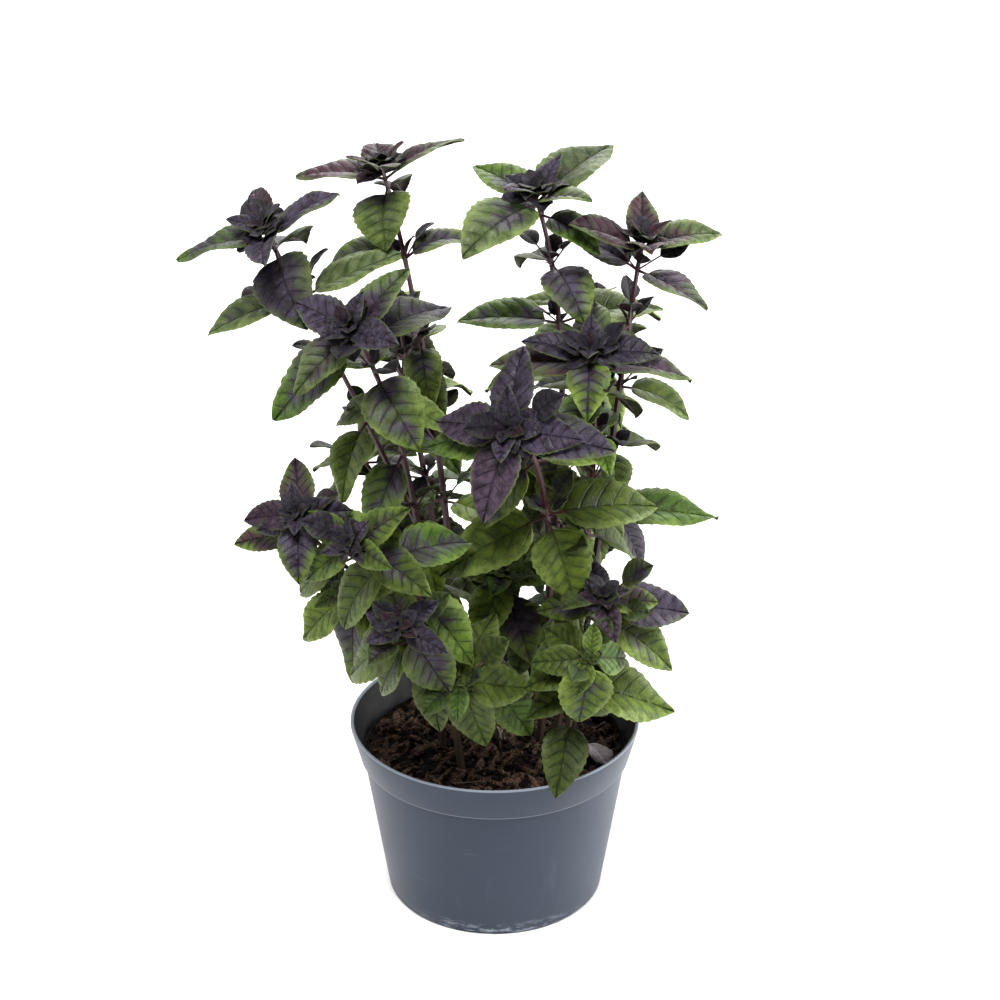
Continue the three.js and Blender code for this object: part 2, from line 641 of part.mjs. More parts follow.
// All the stems take their places first, then the heads, then the leaf pairs.
const stems = PLANTS.map((plant) => makeStem(plant));
for (const plant of PLANTS) {
  plant.axes.forEach((axis, i) => {
    const name = "head_" + plant.name + (i ? "_" + (i + 1) : "");
    basil.add(namedMesh(name, growHead(name, axis), LEAF_PURPLE));
  });
}
PLANTS.forEach((plant, i) => {
  const leaves = plant.axes.flatMap((axis) => growPairs(plant, axis));
  basil.add(namedMesh("stem_" + plant.name, wasm.Manifold.union([...stems[i], ...leaves]), LEAF_GREEN));
});
basil.add(namedMesh("fallen_leaf", makeFallenLeaf(), LEAF_DRIED));

export default basil;
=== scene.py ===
"""A potted purple-tipped basil, dressed for its pictures.

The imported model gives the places. Its faceted stems, heads and soil are replaced by finer pieces that keep
their form, and the pot gets its rounded lip. Sizes of the layout are millimetres, meshes are metres.
"""

import logging
import math
import random
from contextlib import contextmanager
from dataclasses import dataclass, field, replace
from enum import Enum, IntEnum
from typing import Callable, Dict, Iterator, List, Optional, Sequence, Tuple

import bmesh
import bpy
import numpy as np
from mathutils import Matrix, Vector, noise


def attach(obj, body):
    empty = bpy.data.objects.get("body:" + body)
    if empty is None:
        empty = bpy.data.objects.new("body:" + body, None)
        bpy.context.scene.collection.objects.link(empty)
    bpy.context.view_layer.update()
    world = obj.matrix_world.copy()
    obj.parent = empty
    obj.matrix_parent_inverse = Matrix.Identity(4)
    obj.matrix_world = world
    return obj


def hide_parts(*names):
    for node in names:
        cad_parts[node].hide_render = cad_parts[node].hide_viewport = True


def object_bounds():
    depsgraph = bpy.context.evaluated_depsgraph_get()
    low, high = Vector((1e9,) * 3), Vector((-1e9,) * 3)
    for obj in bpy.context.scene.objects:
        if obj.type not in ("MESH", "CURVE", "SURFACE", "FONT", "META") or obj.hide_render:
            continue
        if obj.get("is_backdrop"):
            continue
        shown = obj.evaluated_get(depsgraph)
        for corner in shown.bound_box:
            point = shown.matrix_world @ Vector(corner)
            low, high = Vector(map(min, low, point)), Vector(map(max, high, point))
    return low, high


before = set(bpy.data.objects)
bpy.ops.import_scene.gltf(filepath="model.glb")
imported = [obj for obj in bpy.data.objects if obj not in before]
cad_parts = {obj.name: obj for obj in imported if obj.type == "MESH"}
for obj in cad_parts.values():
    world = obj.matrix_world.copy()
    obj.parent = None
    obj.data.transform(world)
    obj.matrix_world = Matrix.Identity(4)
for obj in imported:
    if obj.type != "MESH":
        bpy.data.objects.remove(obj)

LOG = logging.getLogger("basil")

MM = 0.001
DEG = math.pi / 180
FULL_TURN = 2 * math.pi
CAD_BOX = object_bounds()
ROOT = "root"

Array = np.ndarray
Piece = bpy.types.Object
Material = bpy.types.Material
Socket = bpy.types.NodeSocket
Colour = Tuple[float, float, float]
Place = Tuple[float, float, float]
UP = np.array((0.0, 0.0, 1.0))
BACK = (0, 1, 0)

# The plant's layout, as the solids have it: foot or from, pull, tip, head (turn, longest blade, lift, how
# far forward its light is for each 1 of height) and the pairs (share of the stem, turn, blade length, lift,
# droop).
PLANTS = (
    ("left_back", (
        ((-20, 16), (-28, 24, 330), (-68, 40, 482), (2, 47, 20, 0.15), (
            (0.3, 60, 50, -20, 50), (0.42, 150, 52, -10, 50), (0.54, 5, 50, 0, 50),
            (0.68, 275, 46, -8, 60), (0.83, 2, 44, 32, 75), (0.965, 266, 38, -8, 45))),
        (0.52, (-54, 28, 330), (-59, 28, 392), (12, 40, 30, 0.5), (
            (0.45, 40, 44, 0, 60), (0.74, 310, 44, 5, 50), (0.92, 350, 46, 15, 60))),
    )),
    ("left_front", (
        ((-33, -8), (-40, -20, 330), (-84, -58, 416), (42, 46, 14, 0.95), (
            (0.36, 200, 52, -30, 40), (0.5, 285, 50, -30, 45), (0.62, 240, 50, -25, 40),
            (0.74, 350, 40, -5, 50), (0.84, 280, 46, -15, 50), (0.94, 215, 56, -5, 25))),
        (0.46, (-98, 0, 380), (-138, -2, 458), (184, 48, 20, 0.8), (
            (0.32, 240, 46, -15, 50), (0.52, 160, 46, 0, 50), (0.74, 186, 56, 8, 18),
            (0.92, 262, 50, -15, 40))),
        (0.3, (-110, -50, 260), (-116, -84, 310), (88, 36, 6, 0.95), (
            (0.5, 200, 44, -25, 50), (0.82, 176, 40, 0, 20))),
    )),
    ("front_left", (
        ((-19, -32), (-30, -70, 280), (-84, -106, 300), (30, 38, 6, 0.95), (
            (0.42, 335, 46, -35, 40), (0.6, 296, 52, -30, 40), (0.78, 215, 50, -20, 40),
            (0.92, 305, 46, -10, 35))),
        (0.3, (-75, -50, 230), (-92, -62, 246), (205, 42, -14, 0.95), (
            (0.55, 310, 44, -25, 40), (0.84, 225, 50, -45, 20))),
        (0.2, (-40, -85, 225), (-56, -118, 252), (125, 28, 4, 0.95), (
            (0.5, 280, 46, -35, 30), (0.72, 200, 50, -38, 30), (0.88, 288, 46, -52, 25))),
    )),
    ("front_middle", (
        ((26, 6), (50, -44, 330), (8, -88, 364), (70, 50, 4, 0.95), (
            (0.34, 300, 50, -30, 40), (0.46, 294, 50, -30, 40), (0.57, 200, 64, -2, 18),
            (0.76, 212, 44, -20, 40), (0.93, 345, 50, 4, 30))),
        (0.14, (-2, -70, 194), (-22, -98, 204), (250, 50, -38, 0.95), (
            (0.55, 300, 44, -45, 30), (0.84, 192, 46, -50, 20))),
    )),
    ("right_back", (
        ((16, 20), (64, 20, 350), (25, 18, 472), (46, 54, 16, 0.5), (
            (0.26, 60, 50, -20, 50), (0.38, 330, 52, -15, 50), (0.5, 60, 50, -5, 50), (0.61, 340, 50, 0, 50),
            (0.72, 180, 56, 12, 30), (0.84, 300, 44, 0, 55), (0.955, 320, 42, 0, 45))),
        (0.5, (34, -10, 290), (22, -18, 326), (200, 38, 14, 0.95), ((0.7, 110, 46, 0, 50),)),
    )),
    ("right", (
        ((47, 8), (74, 8, 330), (89, 8, 446), (10, 44, 34, 0.5), (
            (0.26, 80, 48, -20, 50), (0.44, 356, 62, 20, 16), (0.55, 75, 44, 0, 50),
            (0.67, 350, 46, 5, 50), (0.8, 62, 42, 5, 50), (0.93, 326, 44, 12, 25))),
    )),
    ("right_front", (
        ((31, -13), (72, -16, 300), (57, -32, 392), (82, 44, 12, 0.95), (
            (0.34, 200, 50, -35, 40), (0.5, 232, 48, -35, 30), (0.62, 215, 38, -8, 50),
            (0.74, 255, 36, -15, 50), (0.86, 240, 46, -10, 40), (0.95, 176, 52, 6, 20))),
        (0.22, (70, -50, 210), (66, -64, 244), (190, 34, 0, 0.95), (
            (0.5, 40, 46, -20, 40), (0.74, 320, 48, -15, 40), (0.9, 355, 48, 2, 18))),
    )),
    ("front_right", (
        ((36, -40), (52, -60, 200), (58, -92, 216), (272, 44, -34, 0.95), (
            (0.42, 258, 50, -28, 16), (0.6, 352, 56, -14, 14), (0.8, 232, 50, -30, 25))),
    )),
    ("middle", (
        ((-2, 2), (4, 0, 200), (6, -16, 236), (70, 44, 4, 0.95), (
            (0.46, 330, 48, -20, 50), (0.66, 50, 50, -10, 50), (0.84, 300, 46, -20, 40))),
    )),
    ("far_left", (
        ((-26, 46), (-40, 80, 300), (-78, 112, 364), (60, 42, 14, 0.3), (
            (0.36, 130, 50, -25, 45), (0.5, 40, 52, -15, 50), (0.63, 130, 50, -10, 50),
            (0.76, 45, 50, -5, 50), (0.89, 130, 46, 0, 45))),
        (0.4, (-82, 96, 250), (-92, 96, 272), (160, 34, 0, 0), (
            (0.5, 100, 48, -20, 45), (0.8, 190, 44, -20, 40))),
        (0.2, (-40, 100, 200), (-46, 122, 226), (100, 38, -5, -0.5), (
            (0.5, 20, 50, -35, 30), (0.8, 100, 46, -30, 30))),
    )),
    ("far_right", (
        ((24, 50), (50, 80, 310), (62, 106, 372), (20, 42, 14, 0.3), (
            (0.36, 40, 50, -25, 45), (0.5, 130, 52, -15, 50), (0.63, 40, 50, -10, 50),
            (0.76, 130, 50, -5, 50), (0.89, 50, 46, 0, 45))),
        (0.35, (78, 82, 215), (80, 92, 240), (60, 36, 0, 0), (
            (0.5, 70, 44, -20, 45), (0.8, 140, 40, -20, 40))),
        (0.22, (40, 100, 200), (44, 124, 230), (80, 38, -5, -0.5), (
            (0.5, 160, 50, -35, 30), (0.8, 80, 46, -30, 30))),
    )),
)

# The pairs of a head: turn, share of the longest blade, lift, share of the core.
HEAD_PAIRS = ((0, 1, 0, 0.2), (90, 0.8, 8, 0.4), (0, 0.48, 36, 0.62))

# What a leaf of the solids may have tried to be clear of its neighbours: more turn, more lift, size.
BENDS = (
    (0, 0, 1), (9, 0, 1), (-9, 0, 1), (0, 10, 1), (0, -10, 1), (18, 6, 1), (-18, 6, 1), (15, -12, 1),
    (-15, -12, 1), (0, 20, 0.95), (0, -22, 0.95), (28, 0, 0.9), (-28, 0, 0.9), (10, 26, 0.85),
    (-10, 26, 0.85), (12, -30, 0.85), (-12, -30, 0.85), (38, 14, 0.75), (-38, 14, 0.75), (0, 38, 0.7),
    (0, -42, 0.7), (50, 0, 0.6), (-50, 0, 0.6),
)

# The leaf's proportions and stand, as in the solids.
PETIOLE_SHARE = 0.16
BLADE_WIDTH_SHARE = 0.66
FOLD = 17 * DEG
BIG_LEAF = 30
HEAD_DROOP = 30
HEAD_CORE_LENGTH = 9
OUTWARD_LEAN = 0.0025
STEM_HOLE_DEPTH = 42
PROBE_REACH = 0.05

# The pot and the soil, as in the solids.
POT_RIM_RADIUS = 95
POT_HEIGHT = 123.5
POT_FOOT_RADIUS = 71.2
POT_WALL = 1.7
BAND_FOOT_Z = 98.9
BAND_FOOT_RADIUS = 88.7
BAND_STEP = 1.9
FLOOR_LIFT = 2.5
FLOOR_TOP = FLOOR_LIFT + POT_WALL
SOIL_EDGE_Z = 101.5
SOIL_MOUND = 5
SOIL_WAVES = ((0.9, 9, 11, 1), (0.7, 5, -6, 0), (0.4, 3.5, 4, 2))

# Half of a blade's outline: powers of the share of its length and of the arch over it, as in the solids.
OUTLINE_POWERS = (0.72, 0.9)

# Where the solids have tell-tale corners on a blade: share of its length and of its half width there.
BIG_PROBE = (0.44, 1.04)
SMALL_PROBE = (0.25, 1)

# The radius of a stem, and how it thickens where a pair leaves it.
STEM_FOOT_RADIUS = 2.7
BRANCH_FOOT_RADIUS = 1.7
STEM_TIP_RADIUS = 1.25
KNOT = 0.28
KNOT_REACH = 7

# What wobble stirs its numbers with, as in the solids.
WHOLE = 0xffffffff
SALT_STEP = 64
STIR_ONE = 0x9e3779b1
STIR_TWO = 0x85ebca6b


class Salt(IntEnum):
    """Which of a leaf's values a wobble is for."""

    TURN = 0
    LIFT = 1
    ROLL = 2
    LENGTH = 3
    DROOP = 4
    FULLNESS = 5
    RIPPLE_SIDE = 6
    RIPPLE_START = 7
    TWIST = 8
    PURPLE = 9
    LIGHT = 10
    SEED = 11
    BACKLIT = 12
    WAVE = 13
    AXIL = 20


@dataclass(frozen=True)
class Stand:
    """How far each leaf strays from the values of its pair: degrees, or shares for its length and fullness.

    Fields: upright is the share that the light has in a leaf's stand, against its stem's direction.
    """

    upright: float
    turn: float
    lift: float
    roll: float
    length: float = 0.08
    droop: float = 10
    fullness: float = 0.08


PAIR_STAND = Stand(0.6, 8, 5, 10)
HEAD_STAND = Stand(0.45, 6, 6, 8, droop=8)
AXIL_STAND = Stand(0.4, 14, 10, 18, length=0.15, droop=18)
PAIR_FORWARD = 0.42


def wobble(leaf: int, salt: int) -> float:
    """Give a number from -1 to 1 that depends only on two whole numbers.

    Args:
        leaf: the leaf's number.
        salt: which of the leaf's values it is for.

    Returns:
        The number.
    """
    h = ((leaf * SALT_STEP + salt + 1) * STIR_ONE) & WHOLE
    h = ((h ^ (h >> 15)) * STIR_TWO) & WHOLE
    h = (h ^ (h >> 13)) & WHOLE
    return h / WHOLE * 2 - 1


def unit(vector: Array) -> Array:
    """Return the vector at length 1."""
    return vector / np.linalg.norm(vector)


def frame_round(heading: Array) -> Tuple[Array, Array]:
    """Return two directions at right angles to a heading and to each other."""
    side = unit(np.cross(BACK, heading))
    return side, np.cross(heading, side)


def wall_radius(z: float) -> float:
    """Return the radius of the pot's outside below its collar at height z."""
    return POT_FOOT_RADIUS + (BAND_FOOT_RADIUS - BAND_STEP - POT_FOOT_RADIUS) * z / BAND_FOOT_Z


SOIL_EDGE_RADIUS = wall_radius(SOIL_EDGE_Z) - POT_WALL
FLOOR_RADIUS = wall_radius(FLOOR_TOP) - 1.5 * POT_WALL


def soil_height(x: float, y: float) -> float:
    """Find the height of the soil's smooth surface.

    Args:
        x: the place to the right of the pot's axis.
        y: the place behind it.

    Returns:
        The height in millimetres.
    """
    r = math.hypot(x, y) / SOIL_EDGE_RADIUS
    lumps = sum(h * math.sin(x / ax + y / ay + start) for h, ax, ay, start in SOIL_WAVES)
    return SOIL_EDGE_Z + SOIL_MOUND * (1 - r * r) + (1 - r / 2) * lumps


def blade_half(share: Array) -> Array:
    """Return the half width of a blade, as a share of its widest, at shares of its length."""
    belly, full = OUTLINE_POWERS
    return np.sin(np.pi * np.clip(share, 0, 1) ** belly).clip(0) ** full


@dataclass(frozen=True)
class Course:
    """The curve that a stem follows from its start, drawn towards its pull, to its tip."""

    start: Array
    pull: Array
    tip: Array

    def at(self, share: float) -> Array:
        """Return the point at a share of the curve."""
        return (1 - share) ** 2 * self.start + 2 * share * (1 - share) * self.pull + share ** 2 * self.tip

    def heading(self, share: float) -> Array:
        """Return the direction at a share of the curve."""
        step = 1e-4
        return unit(self.at(min(share + step, 1)) - self.at(max(share - step, 0)))

    def length(self, steps: int = 200) -> float:
        """Return the length of the curve in millimetres, measured in steps."""
        points = np.array([self.at(i / steps) for i in range(steps + 1)])
        return float(np.linalg.norm(np.diff(points, axis=0), axis=1).sum())


@dataclass(frozen=True)
class Tint:
    """What colours a leaf: how purple and how light it is, and a number that varies its pattern."""

    purple: float
    light: float
    seed: float


@dataclass(frozen=True)
class Leaf:
    """One leaf: where it leaves its stem, how it stands, and its blade."""

    number: int
    root: Array
    along: Array
    face: Array
    length: float
    droop: float
    fullness: float
    tint: Tint = Tint(0.3, 1, 0)
    stalk_share: float = PETIOLE_SHARE

    @property
    def half(self) -> float:
        """Return half of the blade's greatest width."""
        return self.length * BLADE_WIDTH_SHARE * self.fullness / 2

    def place(self, share: Array, across: Array, above: Array) -> Array:
        """Turn places on the leaf into points.

        Args:
            share: the share of the blade's length, below 0 on the petiole.
            across: the distance from the midrib.
            above: the height over the blade.

        Returns:
            The points, one row each, in millimetres.
        """
        share, across, above = np.broadcast_arrays(*np.atleast_1d(share, across, above))
        bend = self.droop * np.maximum(share, 0)
        radius = self.length / self.droop
        petiole = self.stalk_share * self.length
        reach = np.where(share < 0, petiole * (1 + share), petiole + radius * np.sin(bend))
        height = above + np.abs(across) * math.sin(FOLD)
        side = np.cross(self.along, self.face)
        return (
            self.root
            + np.outer(reach + height * np.sin(bend), self.along)
            + np.outer(height * np.cos(bend) - radius * (1 - np.cos(bend)), self.face)
            + np.outer(across * math.cos(FOLD), side)
        )

    def tip_and_edges(self, share: float, edge: float) -> Array:
        """Return the blade's tip, and both edges at a share of its length, in millimetres."""
        return self.place(np.array((1, share, share)), np.array((0, edge, -edge)), np.zeros(3))


def leaf_frame(axis: Array, turn: float, lift: float, roll: float) -> Tuple[Array, Array]:
    """Find how a leaf stands.

    Args:
        axis: the direction that it stands off from.
        turn: its turn about the vertical, in degrees.
        lift: its rise at the stem, in degrees.
        roll: its turn about its own midrib, in degrees.

    Returns:
        The direction of the leaf and that of its upper side.
    """
    flat = np.array((math.cos(turn * DEG), math.sin(turn * DEG), 0))
    out = unit(flat - flat.dot(axis) * axis)
    along = out * math.cos(lift * DEG) + axis * math.sin(lift * DEG)
    face = axis * math.cos(lift * DEG) - out * math.sin(lift * DEG)
    face = face * math.cos(roll * DEG) + np.cross(along, face) * math.sin(roll * DEG)
    return along, face


def leaf_axis(heading: Array, root: Array, stand: Stand, forward: float = PAIR_FORWARD) -> Array:
    """Return the direction that a leaf stands off from, between its stem's direction and the light."""
    light = unit(np.array((0, -forward, 1))) + np.array((root[0], root[1], 0)) * OUTWARD_LEAN
    return unit(heading * (1 - stand.upright) + light * stand.upright)


def node_points(name: str) -> Array:
    """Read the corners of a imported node.

    Args:
        name: the node's name.

    Returns:
        The corners, one row each, in millimetres.
    """
    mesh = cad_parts[name].data
    flat = np.empty(len(mesh.vertices) * 3, dtype=np.float32)
    mesh.vertices.foreach_get("co", flat)
    return flat.reshape(-1, 3).astype(float) / MM


def found(leaf: Leaf, corners: Array) -> int:
    """Count how many of a leaf's tell-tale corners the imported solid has.

    Args:
        leaf: the leaf as it may have grown.
        corners: the solid's corners.

    Returns:
        The count, from 0 to 3.
    """
    share, wide = BIG_PROBE if leaf.length > BIG_LEAF else SMALL_PROBE
    probes = leaf.tip_and_edges(share, leaf.half * wide * float(blade_half(np.array(share))))
    gaps = np.linalg.norm(corners[None, :, :] - probes[:, None, :], axis=2).min(axis=1)
    return int((gaps < PROBE_REACH).sum())


@dataclass(frozen=True)
class Pair:
    """A pair of leaves: how it stands, how long and how purple it is, and whether its purple is a plum."""

    turn: float
    length: float
    lift: float
    droop: float
    purple: float
    plum: bool = False


@dataclass
class Shoot:
    """One stem or side branch: its course and all its leaves."""

    node: str
    head_node: str
    course: Course
    length: float
    head_share: float
    rooted: bool
    head: Tuple[float, float, float, float]
    pairs: Tuple[Tuple[float, ...], ...]
    head_leaves: List[Leaf] = field(default_factory=list)
    pair_leaves: List[Leaf] = field(default_factory=list)

    def radius(self, share: float) -> float:
        """Find the stem's radius, thicker where a pair leaves it.

        Args:
            share: the share of the course.

        Returns:
            The radius in millimetres.
        """
        foot = STEM_FOOT_RADIUS if self.rooted else BRANCH_FOOT_RADIUS
        near = max(math.exp(-((share - pair[0]) * self.length / KNOT_REACH * 2) ** 2) for pair in self.pairs)
        return (foot + (STEM_TIP_RADIUS - foot) * share) * (1 + KNOT * near)

    def core_point(self, share: float) -> Array:
        """Return the point at a share of the head's core."""
        return self.course.at(self.head_share + (1 - self.head_share) * share)

    def head_axis(self) -> Array:
        """Return the direction that the head's leaves stand off from."""
        return leaf_axis(self.course.heading(1), self.course.at(1), HEAD_STAND, self.head[3])

    def joint(self, share: float, stand: Stand) -> Tuple[Array, Array]:
        """Return where leaves leave the stem, and the direction that they stand off from."""
        root = self.course.at(share)
        return root, leaf_axis(self.course.heading(share), root, stand)


# How purple the three pairs of a head are, from the outermost in.
HEAD_PURPLE = {
    "head_left_back": (0.72, 0.75, 0.9),
    "head_left_back_2": (0.8, 0.9, 1.0),
    "head_left_front": (0.5, 0.8, 1.0),
    "head_left_front_2": (0.6, 0.85, 1.0),
    "head_left_front_3": (0.8, 0.9, 1.0),
    "head_front_left": (0.3, 0.5, 0.85),
    "head_front_left_2": (0.1, 0.15, 0.3),
    "head_front_left_3": (0.9, 0.95, 1.0),
    "head_front_middle": (0.95, 0.92, 1.0),
    "head_front_middle_2": (0.1, 0.15, 0.35),
    "head_right_back": (0.34, 0.42, 0.95),
    "head_right_back_2": (0.3, 0.5, 0.7),
    "head_right": (0.66, 0.8, 1.0),
    "head_right_front": (0.42, 0.75, 1.0),
    "head_right_front_2": (0.52, 0.85, 1.0),
    "head_front_right": (0.22, 0.12, 0.3),
    "head_middle": (0.1, 0.2, 0.4),
}
FAR_HEAD_PURPLE = (0.15, 0.3, 0.6)

# Heads whose purple is a warm plum. That of the others is slate.
PLUM_HEADS = ("head_left_back", "head_right")

# Heads whose smallest leaves have hardly opened yet: their size, as a share of the usual one.
CLOSED_HEARTS = {"head_front_right": 0.35, "head_front_middle_2": 0.5, "head_front_left_2": 0.6}

# Single leaves whose colour isn't that of their pair, by number: how purple and how light they are.
ODD_LEAVES = {
    90: (0.42, 1.25), 91: (0.2, 0.7), 93: (0.2, 0.65), 196: (0.6, 1.0), 202: (0.06, 1.15), 203: (0.3, 0.9),
    258: (0.16, 0.45), 260: (0.2, 1.2), 261: (0.15, 0.6), 262: (0.2, 0.65),
}

# Single leaves whose blade is broader than their pair's, by number.
BROAD_LEAVES = {60: 1.3, 61: 1.2, 90: 1.3, 148: 1.45, 164: 1.2, 174: 1.3, 222: 1.1}

# Leaves that the solids leave out, by head: share of the stem, turn, lift, length, droop, fullness, purple
# and light.
LATE_LEAVES = {
    "head_front_middle": ((0.56, 295, -36, 46, 24, 1.38, 0.2, 1.15),),
    "head_front_left_3": ((0.8, 188, -28, 56, 34, 1.15, 0.12, 0.9),),
}

# The lower leaves are darker as painted shade from the foliage above them: heights and how light a leaf is
# there.
PAINTED_SHADE_HEIGHTS = (120, 320)
PAINTED_SHADE_SHARES = (0.74, 1.14)

# A leaf's light and purple stray this far. Of the leaves that are less purple than a share, some have the
# light behind them: from which wobble on, and what it does to their purple and light.
LIGHT_STRAY = 0.3
PURPLE_STRAY = 0.16
BACKLIT_BELOW = 0.42
BACKLIT_FROM = 0.65
BACKLIT_PURPLE = 0.3
BACKLIT_LIGHT = 1.45
PLUM_SEED = 0.9

# How purple a pair is, by the least share of the stem at which it leaves.
PAIR_PURPLE = ((0.9, 0.6), (0.8, 0.52), (0.6, 0.36), (0.0, 0.16))


def tint_of(n: int, height: float, pair: Pair) -> Tint:
    """Choose the colour of one leaf of a pair.

    Args:
        n: the leaf's number.
        height: the height of its root in millimetres.
        pair: the pair.

    Returns:
        The colour.
    """
    # Painted shade: a leaf is darker the lower it sits.
    light = (1 + LIGHT_STRAY * wobble(n, Salt.LIGHT)) * float(np.interp(height, PAINTED_SHADE_HEIGHTS, PAINTED_SHADE_SHARES))
    seed = wobble(n, Salt.SEED)
    if n in ODD_LEAVES:
        tint = Tint(*ODD_LEAVES[n], 0)
    elif pair.purple < BACKLIT_BELOW and wobble(n, Salt.BACKLIT) > BACKLIT_FROM:
        tint = Tint(pair.purple * BACKLIT_PURPLE, light * BACKLIT_LIGHT, seed)
    else:
        tint = Tint(pair.purple + PURPLE_STRAY * wobble(n, Salt.PURPLE), light, seed)
    return replace(tint, seed=PLUM_SEED) if pair.plum else tint


class Layout:
    """The whole plant's stems and leaves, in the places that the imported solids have."""

    def __init__(self) -> None:
        """Lay out the stems and then the leaves, in the order that the solids were grown in."""
        self.count = 0
        self.missing = 0
        self.shoots = list(self.lay_shoots())
        for shoot in self.shoots:
            self.grow_head(shoot)
        for shoot in self.shoots:
            self.grow_pairs(shoot)

    def lay_shoots(self) -> Iterator[Shoot]:
        """Lay out the stems.

        Yields:
            Each stem and side branch, without leaves.
        """
        for name, axes in PLANTS:
            main: Optional[Course] = None
            for number, (source, pull, tip, head, pairs) in enumerate(axes):
                rooted = main is None
                if rooted:
                    start = np.array((*source, soil_height(*source) - STEM_HOLE_DEPTH), dtype=float)
                else:
                    start = main.at(source)
                course = Course(start, np.array(pull, dtype=float), np.array(tip, dtype=float))
                main = main or course
                length = course.length()
                head_node = f"head_{name}" + (f"_{number + 1}" if number else "")
                head_share = 1 - HEAD_CORE_LENGTH / length
                yield Shoot(f"stem_{name}", head_node, course, length, head_share, rooted, head, pairs)

    def grow_pair(self, corners: Array, root: Array, axis: Array, stand: Stand, pair: Pair) -> List[Leaf]:
        """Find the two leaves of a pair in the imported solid.

        Args:
            corners: the solid's corners.
            root: where the pair leaves its stem.
            axis: the direction that its leaves stand off from.
            stand: how far its leaves stray.
            pair: the pair.

        Returns:
            The leaves that are there.
        """
        leaves: List[Leaf] = []
        for half in (0, 180):
            n = self.count
            self.count += 1
            tint = tint_of(n, root[2], pair)
            tried: List[Tuple[int, Leaf]] = []
            for more_turn, more_lift, size in BENDS:
                along, face = leaf_frame(
                    axis,
                    pair.turn + half + more_turn + stand.turn * wobble(n, Salt.TURN),
                    pair.lift + more_lift + stand.lift * wobble(n, Salt.LIFT),
                    stand.roll * wobble(n, Salt.ROLL),
                )
                length = pair.length * size * (1 + stand.length * wobble(n, Salt.LENGTH))
                droop = (pair.droop + stand.droop * wobble(n, Salt.DROOP)) * DEG
                fullness = 1 + stand.fullness * wobble(n, Salt.FULLNESS)
                leaf = Leaf(n, root, along, face, length, droop, fullness, tint)
                tried.append((found(leaf, corners), leaf))
            hits, best = max(tried, key=lambda entry: entry[0])
            if hits:
                leaves.append(replace(best, fullness=best.fullness * BROAD_LEAVES.get(n, 1)))
            else:
                self.missing += 1
        return leaves

    def grow_head(self, shoot: Shoot) -> None:
        """Find the leaves of a shoot's head.

        Args:
            shoot: the shoot, which gets the leaves.
        """
        corners = node_points(shoot.head_node)
        turn, longest, lift, _forward = shoot.head
        plum = shoot.head_node in PLUM_HEADS
        purples = HEAD_PURPLE.get(shoot.head_node, FAR_HEAD_PURPLE)
        for (add_turn, size, add_lift, core), purple in zip(HEAD_PAIRS, purples):
            pair = Pair(turn + add_turn, longest * size, lift + add_lift, HEAD_DROOP, purple, plum)
            root = shoot.core_point(core)
            shoot.head_leaves += self.grow_pair(corners, root, shoot.head_axis(), HEAD_STAND, pair)

    def grow_pairs(self, shoot: Shoot) -> None:
        """Find the leaves of a shoot's pairs.

        Args:
            shoot: the shoot, which gets the leaves.
        """
        corners = node_points(shoot.node)
        for share, turn, length, lift, droop in shoot.pairs:
            root, axis = shoot.joint(share, PAIR_STAND)
            purple = next(purple for least, purple in PAIR_PURPLE if share >= least)
            pair = Pair(turn, length, lift, droop, purple)
            shoot.pair_leaves += self.grow_pair(corners, root, axis, PAIR_STAND, pair)


# The side veins of a blade: how many, how they lean towards the tip, and how they arch.
VEINS = 6
VEIN_LEAN = 0.5
VEIN_ARCH = 1.0

# The mesh's own values that the leaves' materials read.
TINT = "tint"
MARGIN = "margin"


